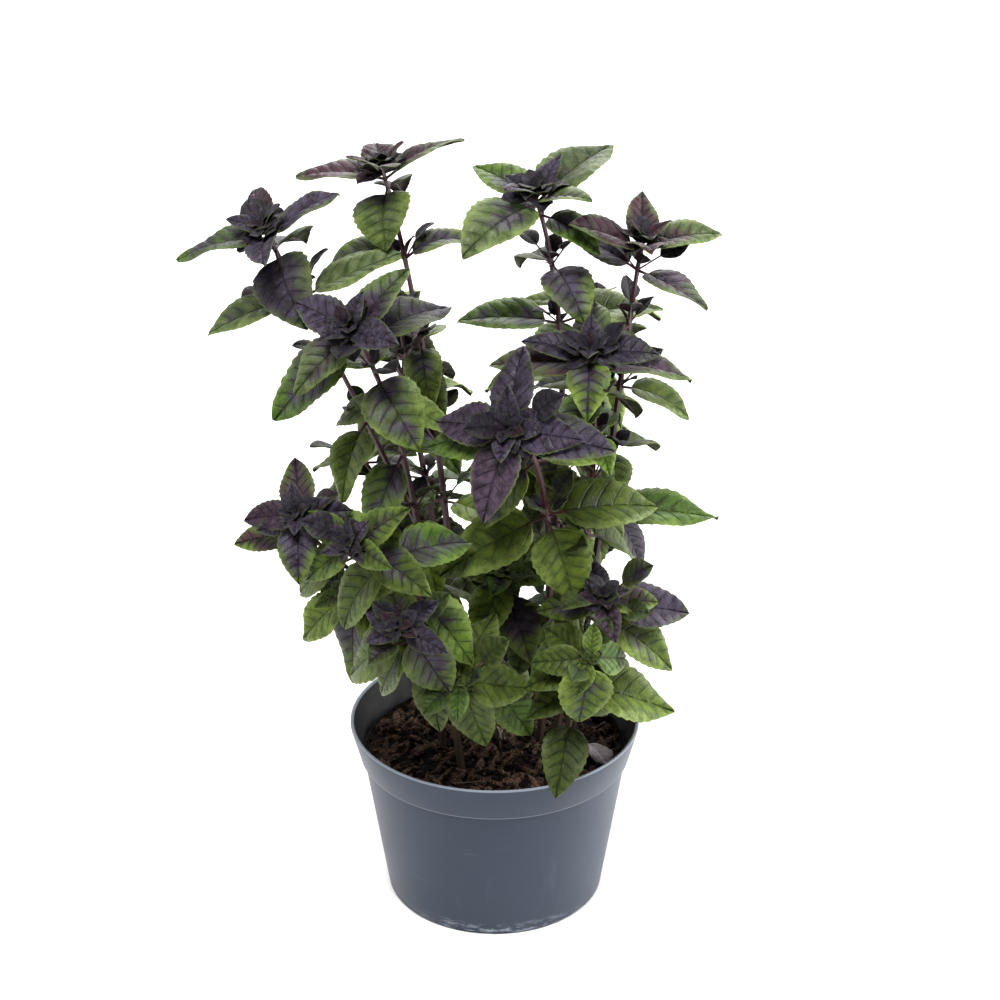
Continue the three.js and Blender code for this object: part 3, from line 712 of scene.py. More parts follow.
class Recipe:
    """Lays out the nodes of one material."""

    def __init__(self, name: str, **sockets: object) -> None:
        """Start a material.

        Args:
            name: the material's name.
            sockets: values for the shader's own sockets, their names with _ for a space.
        """
        self.material = bpy.data.materials.new(name)
        self.material.use_nodes = True
        self.nodes = self.material.node_tree.nodes
        self.links = self.material.node_tree.links
        self.shader = next(node for node in self.nodes if node.type == "BSDF_PRINCIPLED")
        for socket, value in sockets.items():
            self.feed(self.shader.inputs[socket.replace("_", " ")], value)

    def feed(self, socket: Socket, value: object) -> None:
        """Link a socket to another one, or set its value.

        Args:
            socket: the socket.
            value: the other socket, or the value.
        """
        if isinstance(value, Socket):
            self.links.new(value, socket)
        elif isinstance(value, tuple) and socket.type == "RGBA":
            socket.default_value = (*value, 1)
        else:
            socket.default_value = value

    def add(self, kind: str, inputs: Dict[object, object], **settings: object) -> bpy.types.Node:
        """Add a node.

        Args:
            kind: the node's type, without ShaderNode.
            inputs: what each input is linked to or set to.
            settings: the node's own options.

        Returns:
            The node.
        """
        node = self.nodes.new("ShaderNode" + kind)
        for name, value in settings.items():
            setattr(node, name, value)
        for key, value in inputs.items():
            self.feed(node.inputs[key], value)
        return node

    def math(self, how: str, *values: object) -> Socket:
        """Return the result of a sum on numbers."""
        return self.add("Math", dict(enumerate(values)), operation=how).outputs[0]

    def times(self, one: object, other: object) -> Socket:
        """Return the product of two numbers."""
        return self.math("MULTIPLY", one, other)

    def minus(self, one: object, other: object) -> Socket:
        """Return the difference of two numbers."""
        return self.math("SUBTRACT", one, other)

    def larger(self, one: object, other: object) -> Socket:
        """Return the larger of two numbers."""
        return self.math("MAXIMUM", one, other)

    def line(self, value: object, slope: float, base: object) -> Socket:
        """Return a base with a value added to it so many times."""
        return self.math("MULTIPLY_ADD", value, slope, base)

    def stir(self, base: object, pattern: object, reach: float) -> Socket:
        """Return a number moved up and down by a pattern that lies round 0.5."""
        return self.line(self.minus(pattern, 0.5), reach, base)

    def stretch(self, vector: object, factors: Place) -> Socket:
        """Return a vector with each of its three numbers multiplied."""
        return self.add("VectorMath", {0: vector, 1: factors}, operation="MULTIPLY").outputs[0]

    def mix(self, share: object, one: object, other: object, how: str = "MIX") -> Socket:
        """Return a colour between two, or the two put together in another way."""
        return self.add("Mix", {0: share, 6: one, 7: other}, data_type="RGBA", blend_type=how).outputs[2]

    def band(self, value: object, low: float, high: float, start: float = 0, end: float = 1) -> Socket:
        """Return a number that goes softly from start to end while the value goes from low to high."""
        inputs = {"Value": value, "From Min": low, "From Max": high, "To Min": start, "To Max": end}
        return self.add("MapRange", inputs, interpolation_type="SMOOTHSTEP").outputs[0]

    def noise(self, vector: object, scale: float, detail: float = 2, rough: float = 0.5) -> Socket:
        """Return a cloudy pattern of numbers round 0.5."""
        inputs = {"Vector": vector, "Scale": scale, "Detail": detail, "Roughness": rough}
        return self.add("TexNoise", inputs).outputs[0]

    def cells(self, vector: object, scale: float) -> Socket:
        """Return the distance to the walls of a net of cells."""
        inputs = {"Vector": vector, "Scale": scale}
        return self.add("TexVoronoi", inputs, feature="DISTANCE_TO_EDGE").outputs["Distance"]

    def place(self) -> Socket:
        """Return the place on the object."""
        return self.add("TexCoord", {}).outputs["Object"]

    def parts(self, vector: object) -> Tuple[Socket, ...]:
        """Return the three numbers of a vector."""
        return tuple(self.add("SeparateXYZ", {0: vector}).outputs)

    def attribute(self, name: str, output: str) -> Socket:
        """Return one of the mesh's own values."""
        return self.add("Attribute", {}, attribute_name=name).outputs[output]

    def tint(self) -> Tuple[Socket, ...]:
        """Return how purple and how light the leaf is, and the number that varies its pattern."""
        return tuple(self.add("SeparateColor", {0: self.attribute(TINT, "Color")}).outputs)

    def blade_map(self) -> Tuple[Socket, Socket, Socket, Socket]:
        """Read a blade's own map.

        Returns:
            The map, the distance from the midrib, the share of the length, and the count of the side veins.
        """
        flat = self.add("UVMap", {}).outputs[0]
        sideways, along, _level = self.parts(flat)
        across = self.math("ABSOLUTE", self.minus(sideways, 0.5))
        lean = self.line(across, VEIN_ARCH, VEIN_LEAN)
        return flat, across, along, self.times(self.minus(along, self.times(across, lean)), VEINS)

    def plain_veins(self) -> Tuple[Socket, Socket]:
        """Lay out a blade's midrib and side veins.

        Returns:
            The blade's own map, and the pattern of the veins.
        """
        flat, across, _along, phase = self.blade_map()
        side = self.band(self.math("PINGPONG", phase, 0.5), 0.02, 0.1, 1, 0)
        return flat, self.larger(side, self.band(across, 0.004, 0.016, 1, 0))

    def bump(self, height: object, depth: float, strength: float = 1) -> None:
        """Raise the surface by a pattern, with a depth in metres."""
        node = self.add("Bump", {"Height": height, "Strength": strength, "Distance": depth})
        self.feed(self.shader.inputs["Normal"], node.outputs[0])

    def colour(self, value: object) -> None:
        """Set the surface's colour."""
        self.feed(self.shader.inputs["Base Color"], value)


@dataclass(frozen=True)
class BladeFinish:
    """The upper side of the leaves: green, with purple feathers along the side veins, to nearly all purple.

    Fields: the scales count the patterns' spots for each length of blade, and each leaf reads them at a spot
    that spread sets apart. heart is how far along the blade it is most purple. Greens get a painted grey
    sheen between the sheen_heights, in metres, which stands in for the white light that high leaves reflect.
    relief is the depth of the veins in metres.
    """

    deep: Colour = (0.018, 0.034, 0.004)
    green: Colour = (0.073, 0.112, 0.006)
    lime: Colour = (0.150, 0.200, 0.045)
    purple: Colour = (0.008, 0.003, 0.007)
    slate: Colour = (0.043, 0.033, 0.056)
    plum: Colour = (0.040, 0.012, 0.019)
    fresh: Colour = (0.062, 0.125, 0.008)
    sheen_grey: Colour = (0.082, 0.104, 0.050)
    sheen: Colour = (0.8, 0.85, 1.0)
    roughness: float = 0.44
    cloud_scale: float = 8
    patch_scale: float = 2.2
    speck_scale: float = 60
    net_scale: float = 30
    spread: Place = (37, 19, 11)
    heart: float = 0.28
    sheen_heights: Tuple[float, float] = (0.32, 0.42)
    relief: float = 0.0009

    def make(self) -> Material:
        """Lay out the material.

        Returns:
            The material.
        """
        r = Recipe("basil_leaf_upper", Roughness=self.roughness, Specular_IOR_Level=0.21, Sheen_Weight=0.02,
                   Sheen_Roughness=0.4, Sheen_Tint=self.sheen)
        flat, across, along, phase = r.blade_map()
        purple, light, seed = r.tint()
        margin = r.attribute(MARGIN, "Fac")

        # Each leaf reads its patterns at a spot of its own.
        own = r.stretch(r.add("CombineXYZ", {0: seed, 1: purple, 2: seed}).outputs[0], self.spread)
        spot = r.add("VectorMath", {0: flat, 1: own}, operation="ADD").outputs[0]
        cloud = r.noise(spot, self.cloud_scale, 4, 0.65)
        patch = r.noise(spot, self.patch_scale, 1)
        speck = r.noise(spot, self.speck_scale, 2, 0.6)
        net = r.cells(spot, self.net_scale)

        # The veins, and the feathers along them, which get narrower towards the margin.
        gap = r.math("PINGPONG", r.stir(phase, cloud, 0.6), 0.5)
        feather = r.band(r.minus(gap, r.line(margin, -0.42, 0.36)), -0.16, 0.10, 1, 0)
        straight = r.math("PINGPONG", phase, 0.5)
        rib = r.band(across, 0.003, 0.012, 1, 0)
        vein = r.larger(r.times(r.band(straight, 0.015, 0.09, 1, 0), 0.85), rib)
        vein = r.times(vein, r.band(margin, 0.6, 0.95, 1, 0))

        # The share of purple: most near the heart of the blade and in patches, least at its margin.
        share = r.line(purple, 1.35, -0.22)
        share = r.minus(share, r.times(r.math("ABSOLUTE", r.minus(along, self.heart)), 0.45))
        share = r.line(feather, 0.13, share)
        share = r.stir(r.stir(share, patch, 1.5), cloud, 0.6)
        share = r.minus(share, r.times(r.math("POWER", margin, 2.0), r.line(purple, -0.45, 0.5)))

        # The greens: some fresh, some of the high ones greyed by a painted sheen, deeper in clouds and
        # veins, lime at the rim, with a thin pale line at the very edge that is partly the margin's own
        # colour and partly a painted edge highlight.
        green = r.mix(r.band(seed, -0.75, -0.25, 1, 0), self.green, self.fresh)
        _x, _y, height = r.parts(r.place())
        # Painted sheen: high leaves are greyed, standing in for the white light that they reflect.
        sheen_share = r.times(r.band(height, *self.sheen_heights), r.band(seed, -0.3, 0.1))
        green = r.mix(r.times(sheen_share, 0.75), green, self.sheen_grey)
        green = r.mix(r.band(cloud, 0.25, 0.66), self.deep, green)
        green = r.mix(r.times(r.larger(feather, vein), 0.4), green, self.deep)
        rim = r.times(r.band(margin, 0.5, 1.0), r.band(cloud, 0.3, 0.65, 0.0, 0.6))
        # The thin pale line at the very edge is partly the margin's own colour and partly a painted edge
        # highlight.
        rim = r.larger(rim, r.band(margin, 0.88, 0.98, 0, 0.5))
        green = r.mix(r.times(rim, r.band(purple, 0.25, 0.8, 1, 0.3)), green, self.lime)

        # The purples: slate or plum, deeper in clouds and veins, with painted shade near the petiole, and a
        # green edge.
        violet = r.mix(r.band(seed, 0.45, 0.95), self.slate, self.plum)
        violet = r.mix(r.band(cloud, 0.3, 0.68), self.purple, violet)
        violet = r.mix(r.times(vein, 0.5), violet, self.purple)
        # Painted shade: the blade is darkened towards its petiole, where it meets the stem among the crowded
        # leaves.
        violet = r.mix(r.band(along, 0.0, 0.3, 0.65, 0), violet, self.purple)
        violet = r.mix(r.band(margin, 0.90, 0.98, 0, 0.45), violet, self.green)

        # The leaf's lightness carries the painted shade of the lower leaves and the painted glow of backlit
        # ones, varied by specks.
        light = r.times(light, r.band(speck, 0.3, 0.7, 0.88, 1.12))
        grey = r.add("CombineColor", {0: light, 1: light, 2: light}).outputs[0]
        r.colour(r.mix(1.0, r.mix(r.band(share, 0.08, 0.68), green, violet), grey, "MULTIPLY"))
        r.bump(r.line(vein, -0.8, r.times(r.band(net, 0.0, 0.15), 0.15)), self.relief, 0.9)
        return r.material


@dataclass(frozen=True)
class UndersideFinish:
    """The underside of the leaves: dull, with raised veins, and dark as painted shade on the side that faces
    down.
    """

    # Both colours are dark: painted shade on the side that faces down.
    green: Colour = (0.036, 0.054, 0.014)
    purple: Colour = (0.012, 0.005, 0.008)
    roughness: float = 0.65
    cloud_scale: float = 9
    relief: float = 0.0005

    def make(self) -> Material:
        """Lay out the material.

        Returns:
            The material.
        """
        r = Recipe("basil_leaf_under", Roughness=self.roughness, Specular_IOR_Level=0.18)
        flat, vein = r.plain_veins()
        purple, _light, _seed = r.tint()
        share = r.stir(purple, r.noise(flat, self.cloud_scale, 3), 0.8)
        colour = r.mix(r.band(share, 0.2, 0.9), self.green, self.purple)
        r.colour(r.mix(r.times(vein, 0.5), colour, self.purple))
        r.bump(vein, self.relief, 0.7)
        return r.material


@dataclass(frozen=True)
class StalkFinish:
    """The stems and petioles: purple-brown, greener towards the soil, and dark just above it, partly woody
    and partly painted shade under the foliage.

    Fields: heights are metres, patterns' scales are spots for each metre.
    """

    purple: Colour = (0.050, 0.011, 0.019)
    fresh: Colour = (0.046, 0.030, 0.016)
    woody_and_shaded: Colour = (0.020, 0.012, 0.009)
    sheen: Colour = (0.95, 0.85, 0.9)
    roughness: float = 0.5
    fresh_heights: Tuple[float, float] = (0.13, 0.30)
    woody_shade_heights: Tuple[float, float] = (0.10, 0.15)
    streak_scale: float = 900
    streak_stretch: Place = (1, 1, 0.12)
    patch_scale: float = 28
    relief: float = 0.0004

    def make(self) -> Material:
        """Lay out the material.

        Returns:
            The material.
        """
        r = Recipe("basil_stalk", Roughness=self.roughness, Specular_IOR_Level=0.22, Sheen_Weight=0.04,
                   Sheen_Roughness=0.5, Sheen_Tint=self.sheen)
        place = r.place()
        _x, _y, height = r.parts(place)
        streak = r.noise(r.stretch(place, self.streak_stretch), self.streak_scale, 2)
        patch = r.noise(place, self.patch_scale, 2)
        low = r.math("ADD", r.band(height, *self.fresh_heights, 1, 0), r.line(patch, 1.1, -0.65))
        colour = r.mix(r.band(low, 0.25, 0.9), self.purple, self.fresh)
        # Dark just above the soil: partly the woody base, partly painted shade under the foliage.
        colour = r.mix(r.band(height, *self.woody_shade_heights, 0.8, 0), colour, self.woody_and_shaded)
        r.colour(r.mix(r.band(streak, 0.35, 0.75, 0, 0.45), colour, self.fresh))
        r.bump(streak, self.relief, 0.6)
        return r.material


@dataclass(frozen=True)
class PotFinish:
    """The pot's moulded plastic: slate grey-blue, with faint streaks and pale scuffs at its foot, and
    painted highlights along the lip and the collar's lower edge.

    Fields: heights are metres, scales are spots for each metre, and each stretch draws its pattern out or
    presses it together along the axes. front is where the scuffs fade out, from the front to the back.
    """

    slate: Colour = (0.021, 0.0325, 0.055)
    deep: Colour = (0.0175, 0.0275, 0.047)
    scuff_and_highlight: Colour = (0.36, 0.40, 0.45)
    roughness: float = 0.42
    cloud_scale: float = 14
    grain_scale: float = 1500
    streak_scale: float = 90
    streak_stretch: Place = (1, 1, 0.08)
    smear_scale: float = 70
    smear_stretch: Place = (1, 1, 3)
    scratch_scale: float = 22
    scratch_stretch: Place = (1, 1, 12)
    foot_heights: Tuple[float, float] = (0.002, 0.011)
    front: Tuple[float, float] = (-0.068, -0.052)
    lip_highlight_heights: Tuple[float, float] = ((POT_HEIGHT - 1.5) * MM, (POT_HEIGHT - 0.9) * MM)
    collar_highlight_height: float = (BAND_FOOT_Z + 0.35) * MM
    relief: float = 0.00012

    def make(self) -> Material:
        """Lay out the material.

        Returns:
            The material.
        """
        r = Recipe("pot_plastic", Specular_IOR_Level=0.3)
        place = r.place()
        _x, depth, height = r.parts(place)
        cloud = r.noise(place, self.cloud_scale, 3)
        grain = r.noise(place, self.grain_scale, 2)
        streak = r.noise(r.stretch(place, self.streak_stretch), self.streak_scale, 3, 0.6)
        smear = r.noise(r.stretch(place, self.smear_stretch), self.smear_scale, 5, 0.7)
        scratch = r.noise(r.stretch(place, self.scratch_stretch), self.scratch_scale, 4, 0.65)
        foot = r.times(r.band(height, *self.foot_heights, 1, 0), r.band(smear, 0.46, 0.62))
        foot = r.times(foot, r.band(depth, *self.front, 1, 0.15))
        # Painted highlights: a pale band along the lip and a thin pale line at the collar's lower edge,
        # standing in for light caught by these rounded edges.
        lip = r.band(height, *self.lip_highlight_heights, 0, 0.42)
        edge = r.times(r.math("COMPARE", height, self.collar_highlight_height, 0.0005), 0.3)
        colour = r.mix(r.band(cloud, 0.3, 0.7), self.deep, self.slate)
        colour = r.mix(r.band(streak, 0.6, 0.85, 0, 0.05), colour, self.scuff_and_highlight)
        colour = r.mix(r.times(foot, 0.85), colour, self.scuff_and_highlight)
        colour = r.mix(r.times(r.band(scratch, 0.66, 0.72), 0.04), colour, self.scuff_and_highlight)
        r.colour(r.mix(r.larger(lip, edge), colour, self.scuff_and_highlight))
        r.feed(r.shader.inputs["Roughness"], r.line(foot, 0.3, r.stir(self.roughness, cloud, 0.16)))
        r.bump(r.line(streak, 0.4, grain), self.relief, 0.5)
        return r.material


@dataclass(frozen=True)
class ShadedInsideFinish:
    """The inside of the pot: the same plastic, painted nearly black as shade, with a faint mottle."""

    painted_shade: Colour = (0.007, 0.008, 0.009)
    painted_shade_mottle: Colour = (0.022, 0.017, 0.013)
    roughness: float = 0.55
    cloud_scale: float = 60
    relief: float = 0.0004

    def make(self) -> Material:
        """Lay out the material.

        Returns:
            The material.
        """
        r = Recipe("pot_inside", Roughness=self.roughness, Specular_IOR_Level=0.3)
        cloud = r.noise(r.place(), self.cloud_scale, 5, 0.7)
        # Painted shade: the inside wall is coloured nearly black, with a faint mottle.
        r.colour(r.mix(r.band(cloud, 0.45, 0.7), self.painted_shade, self.painted_shade_mottle))
        r.bump(cloud, self.relief, 0.5)
        return r.material


@dataclass(frozen=True)
class EarthFinish:
    """Peat, bark or fibres: broken brown colours on a rough surface.

    Fields: scale counts the coarse pattern's spots for each metre, and the fine one has fine_share times as
    many. The pale colour shows where the fine one is above pale_from.
    """

    name: str
    dark: Colour
    mid: Colour
    pale: Colour
    scale: float
    pale_from: float = 0.6
    fine_share: float = 5
    roughness: float = 0.85
    relief: float = 0.0012

    def make(self) -> Material:
        """Lay out the material.

        Returns:
            The material.
        """
        r = Recipe(self.name, Roughness=self.roughness, Specular_IOR_Level=0.15)
        place = r.place()
        coarse = r.noise(place, self.scale, 4, 0.7)
        fine = r.noise(place, self.scale * self.fine_share, 3, 0.7)
        colour = r.mix(r.band(coarse, 0.35, 0.65), self.dark, self.mid)
        r.colour(r.mix(r.band(fine, self.pale_from, self.pale_from + 0.14), colour, self.pale))
        r.bump(fine, self.relief, 0.9)
        return r.material


@dataclass(frozen=True)
class DriedFinish:
    """A dried leaf: grey-purple and brown, papery, with its veins standing out."""

    name: str = "dried_leaf"
    grey: Colour = (0.27, 0.235, 0.26)
    brown: Colour = (0.17, 0.125, 0.125)
    pale: Colour = (0.42, 0.37, 0.38)
    roughness: float = 0.8
    cloud_scale: float = 6
    relief: float = 0.0006

    def make(self) -> Material:
        """Lay out the material.

        Returns:
            The material.
        """
        r = Recipe(self.name, Roughness=self.roughness, Specular_IOR_Level=0.3)
        flat, vein = r.plain_veins()
        cloud = r.noise(flat, self.cloud_scale, 4, 0.65)
        colour = r.mix(r.band(cloud, 0.35, 0.65), self.grey, self.brown)
        r.colour(r.mix(r.times(vein, 0.5), colour, self.pale))
        r.bump(r.math("ADD", vein, cloud), self.relief, 0.8)
        return r.material


PEAT = EarthFinish("peat", (0.0022, 0.0014, 0.0010), (0.013, 0.0068, 0.0038), (0.055, 0.029, 0.017), 260)
BARK = EarthFinish("bark", (0.013, 0.007, 0.0045), (0.066, 0.034, 0.021), (0.19, 0.12, 0.078), 160, 0.5)
FIBRE = EarthFinish("fibre", (0.03, 0.016, 0.009), (0.085, 0.05, 0.03), (0.16, 0.105, 0.06), 120)
STRAW = EarthFinish("straw", (0.10, 0.065, 0.04), (0.20, 0.14, 0.09), (0.30, 0.23, 0.16), 150)
WITHERED = DriedFinish("withered_leaf", (0.34, 0.27, 0.20), (0.20, 0.14, 0.10), (0.50, 0.42, 0.33))


class Pick(Enum):
    """What is picked in edit mode."""

    VERT = "verts"
    EDGE = "edges"
    FACE = "faces"


def bench() -> None:
    """Clear the selection, so that the next operator acts on its own piece only."""
    if bpy.context.mode != "OBJECT":
        bpy.ops.object.mode_set(mode="OBJECT")
    bpy.ops.object.select_all(action="DESELECT")


def take(piece: Piece) -> None:
    """Select one piece alone and make it active.

    Args:
        piece: the piece.
    """
    bench()
    piece.select_set(True)
    bpy.context.view_layer.objects.active = piece


def start(name: str, add: Callable[..., object], **settings: object) -> Piece:
    """Add an object with one of Blender's operators.

    Args:
        name: the object's name.
        add: the operator.
        settings: the operator's settings.

    Returns:
        The object.
    """
    bench()
    add(**settings)
    piece = bpy.context.active_object
    piece.name = name
    return piece


@contextmanager
def edit_mode() -> Iterator[None]:
    """Keep the active piece in edit mode while a block runs."""
    bpy.ops.object.mode_set(mode="EDIT")
    yield
    bpy.ops.object.mode_set(mode="OBJECT")


def pick(kind: Pick, test: Callable[[Vector], bool]) -> None:
    """Select the parts of the edited mesh whose middle passes a test.

    Args:
        kind: corners, edges or faces.
        test: says whether a place is wanted.
    """
    bpy.ops.mesh.select_mode(type=kind.name)
    bpy.ops.mesh.select_all(action="DESELECT")
    sheet = bmesh.from_edit_mesh(bpy.context.edit_object.data)
    for part in getattr(sheet, kind.value):
        corners = [part] if kind is Pick.VERT else part.verts
        middle = sum((corner.co for corner in corners), Vector()) / len(corners)
        part.select_set(test(middle))
    sheet.select_flush_mode()
    bmesh.update_edit_mesh(bpy.context.edit_object.data)


def face_outwards() -> None:
    """Turn all faces of the edited mesh outwards."""
    bpy.ops.mesh.select_all(action="SELECT")
    bpy.ops.mesh.normals_make_consistent(inside=False)


def draw_ring(rise: float, size: float) -> None:
    """Draw the picked ring of edges up by a rise, and make the new ring larger or smaller."""
    bpy.ops.mesh.extrude_edges_move(TRANSFORM_OT_translate={"value": (0, 0, rise)})
    bpy.ops.transform.resize(value=(size, size, 1))


def apply(piece: Piece, kind: str, **settings: object) -> None:
    """Give a piece a modifier and apply it.

    Args:
        piece: the piece.
        kind: the modifier's kind.
        settings: the modifier's settings.
    """
    take(piece)
    modifier = piece.modifiers.new(kind.lower(), kind)
    for name, value in settings.items():
        setattr(modifier, name, value)
    bpy.ops.object.modifier_apply(modifier=modifier.name)


def read_points(piece: Piece) -> Array:
    """Read a piece's corners.

    Args:
        piece: the piece.

    Returns:
        The corners in metres, one row each.
    """
    flat = np.empty(len(piece.data.vertices) * 3)
    piece.data.vertices.foreach_get("co", flat)
    return flat.reshape(-1, 3)


def write_points(piece: Piece, points: Array) -> None:
    """Move a piece's corners to new places, given in metres."""
    piece.data.vertices.foreach_set("co", np.ascontiguousarray(points, dtype=np.float32).ravel())
    piece.data.update()


def copy_of(pattern: Piece, name: str, points: Array) -> Piece:
    """Copy a pattern, with a mesh of its own, and move the copy's corners.

    Args:
        pattern: the pattern.
        name: the copy's name.
        points: the corners' new places, in millimetres.

    Returns:
        The copy.
    """
    piece = pattern.copy()
    piece.data = pattern.data.copy()
    piece.name = name
    bpy.context.scene.collection.objects.link(piece)
    write_points(piece, points * MM)
    return piece


def join(pieces: Sequence[Piece], name: str) -> Piece:
    """Join pieces into one.

    Args:
        pieces: the pieces. They are used up.
        name: the name of the result.

    Returns:
        The joined piece.
    """
    bench()
    for piece in pieces:
        piece.select_set(True)
    bpy.context.view_layer.objects.active = pieces[0]
    bpy.ops.object.join()
    pieces[0].name = name
    pieces[0].data.name = name
    return pieces[0]


def discard(*pieces: Piece) -> None:
    """Remove patterns that have been copied.

    Args:
        pieces: the patterns.
    """
    for piece in pieces:
        mesh = piece.data
        bpy.data.objects.remove(piece)
        bpy.data.meshes.remove(mesh)


def finish(piece: Piece, slot: str, *nodes: str, angle: float = 50) -> None:
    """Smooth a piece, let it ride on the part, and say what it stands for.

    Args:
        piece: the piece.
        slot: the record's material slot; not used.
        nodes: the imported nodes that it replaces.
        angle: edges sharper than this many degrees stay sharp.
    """
    take(piece)
    bpy.ops.object.shade_smooth_by_angle(angle=angle * DEG)
    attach(piece, ROOT)
    if nodes:
        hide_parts(*nodes)
    faces = len(piece.data.polygons)
    LOG.info("%s: %d faces, stands for %s", piece.name, faces, ", ".join(nodes) or "nothing")


@dataclass
class BladePattern:
    """A flat toothed blade, one long and two wide, that every leaf's blade is copied from.

    Fields: each tooth takes so many steps. tooth and blunt are shares of the greatest half width, and a
    tooth rises by its rake from its dip. belly moves the widest place along the blade, and arch rounds the
    outline. relax is how much flatter the fold is at the margin. The margin has so many ripples, with a
    skew between its two sides, and the strays tell how far leaves differ in their waves.
    """

    name: str
    teeth: int
    steps: int
    columns: int
    materials: Sequence[Material]
    tooth: float = 0.058
    belly: float = 0.63
    blunt: float = 0.02
    thickness: float = 0.42
    relax: float = 0.4
    twist: float = 0.3
    rake: float = 1.6
    dip: float = 0.55
    arch: float = 0.8
    ripples: float = 1.4
    skew: float = 0.9
    side_stray: float = 6
    start_stray: float = 0.4
    wave_stray: float = 0.6

    def outline(self, row: int) -> float:
        """Find the half width of a row of corners.

        Args:
            row: the row, from the petiole on.

        Returns:
            The half width, as a share of the widest.
        """
        rows = self.teeth * self.steps
        place = (row % self.steps) / self.steps
        bite = self.tooth * (self.rake * place - self.dip) if 0 < row < rows else 0
        return max(self.blunt, math.sin(math.pi * (row / rows) ** self.belly) ** self.arch * (1 + bite))

    def make(self) -> None:
        """Model the pattern."""
        rows = self.teeth * self.steps
        grid = {"x_subdivisions": self.columns, "y_subdivisions": rows, "size": 2}
        self.piece = start(self.name, bpy.ops.mesh.primitive_grid_add, **grid)
        mesh = self.piece.data
        margin = mesh.attributes.new(MARGIN, "FLOAT", "POINT")
        margin.data.foreach_set("value", np.abs(read_points(self.piece)[:, 0]).astype(np.float32))
        with edit_mode():
            bpy.ops.mesh.select_all(action="SELECT")
            bpy.ops.transform.resize(value=(1, 0.5, 1))
            bpy.ops.transform.translate(value=(0, 0.5, 0))
            for row in range(rows + 1):
                pick(Pick.VERT, lambda place: abs(place.y - row / rows) < 0.2 / rows)
                bpy.ops.transform.resize(value=(self.outline(row), 1, 1))
        self.map_flat()
        for material in self.materials:
            mesh.materials.append(material)
        apply(self.piece, "SOLIDIFY", thickness=1, offset=0, material_offset=1)
        points = read_points(self.piece)
        self.across, self.share, self.level = points.T
        self.margin = np.empty(len(points))
        self.piece.data.attributes[MARGIN].data.foreach_get("value", self.margin)
        self.piece.data.attributes.new(TINT, "FLOAT_COLOR", "POINT")

    def map_flat(self) -> None:
        """Lay the blade's map flat, at the scale of its length."""
        mesh = self.piece.data
        corners = np.empty(len(mesh.loops), dtype=np.int32)
        mesh.loops.foreach_get("vertex_index", corners)
        points = read_points(self.piece)[corners]
        flat = np.stack((0.5 + points[:, 0] * BLADE_WIDTH_SHARE / 2, points[:, 1]), axis=1)
        mesh.uv_layers[0].data.foreach_set("uv", flat.astype(np.float32).ravel())
        mesh.uv_layers[0].name = "UVMap"

    def copy(self, leaf: Leaf, pucker: float = 0.022, wave: float = 0.032) -> Piece:
        """Copy the blade and bend the copy into a leaf's place.

        Args:
            leaf: the leaf.
            pucker: how far the blade swells between its veins, as a share of its length.
            wave: how far its edge waves, as a share of its length.

        Returns:
            The copy.
        """
        n = leaf.number
        across = self.across * leaf.half
        far = np.abs(across) / leaf.length
        phase = (self.share - far * (VEIN_LEAN + VEIN_ARCH * far)) * VEINS
        swell = np.abs(np.sin(math.pi * phase)) ** 0.8 * np.sin(math.pi * np.clip(self.margin, 0, 1)) ** 0.6
        side = np.sign(across) * self.skew + self.side_stray * wobble(n, Salt.RIPPLE_SIDE)
        first = self.start_stray * wobble(n, Salt.RIPPLE_START)
        ripple = np.sin(FULL_TURN * (self.ripples * self.share + first) + side)
        wave *= 1 + self.wave_stray * wobble(n, Salt.WAVE)
        rise = pucker * swell + wave * self.margin ** 2 * ripple * self.share
        above = self.level * self.thickness + leaf.length * rise
        above -= self.relax * np.abs(across) * math.sin(FOLD) * self.margin ** 2
        above += across * math.sin(self.twist * wobble(n, Salt.TWIST)) * self.share
        piece = copy_of(self.piece, f"blade_{n}", leaf.place(self.share, across, above))
        tint = np.tile((leaf.tint.purple, leaf.tint.light, leaf.tint.seed, 1), len(self.share))
        piece.data.attributes[TINT].data.foreach_set("color", tint.astype(np.float32))
        return piece


@dataclass(frozen=True)
class Rib:
    """How a petiole, and the rib that it runs on as under its blade, taper.

    Fields: stops are shares of the blade's length, from -1 at the stem to where the rib ends, and radii are
    millimetres. At each of the drop_stops the rib lies drops times its radius below the blade.
    """

    stops: Tuple[float, ...]
    radii: Tuple[float, ...]
    drop_stops: Tuple[float, ...] = (-1, 1)
    drops: Tuple[float, ...] = (0.7, 0.7)


LIVE_RIB = Rib((-1, -0.8, 0, 0.3, 0.86), (1.35, 1, 0.9, 0.55, 0.2),
               (-1, 0, 0.12, 0.86), (0, 0.08, 0.64, 0.72))
DRIED_RIB = Rib((-1, 0, 0.8), (0.8, 0.7, 0.25))
WITHERED_RIB = Rib((-1, 0, 0.7), (0.8, 0.6, 0.25))


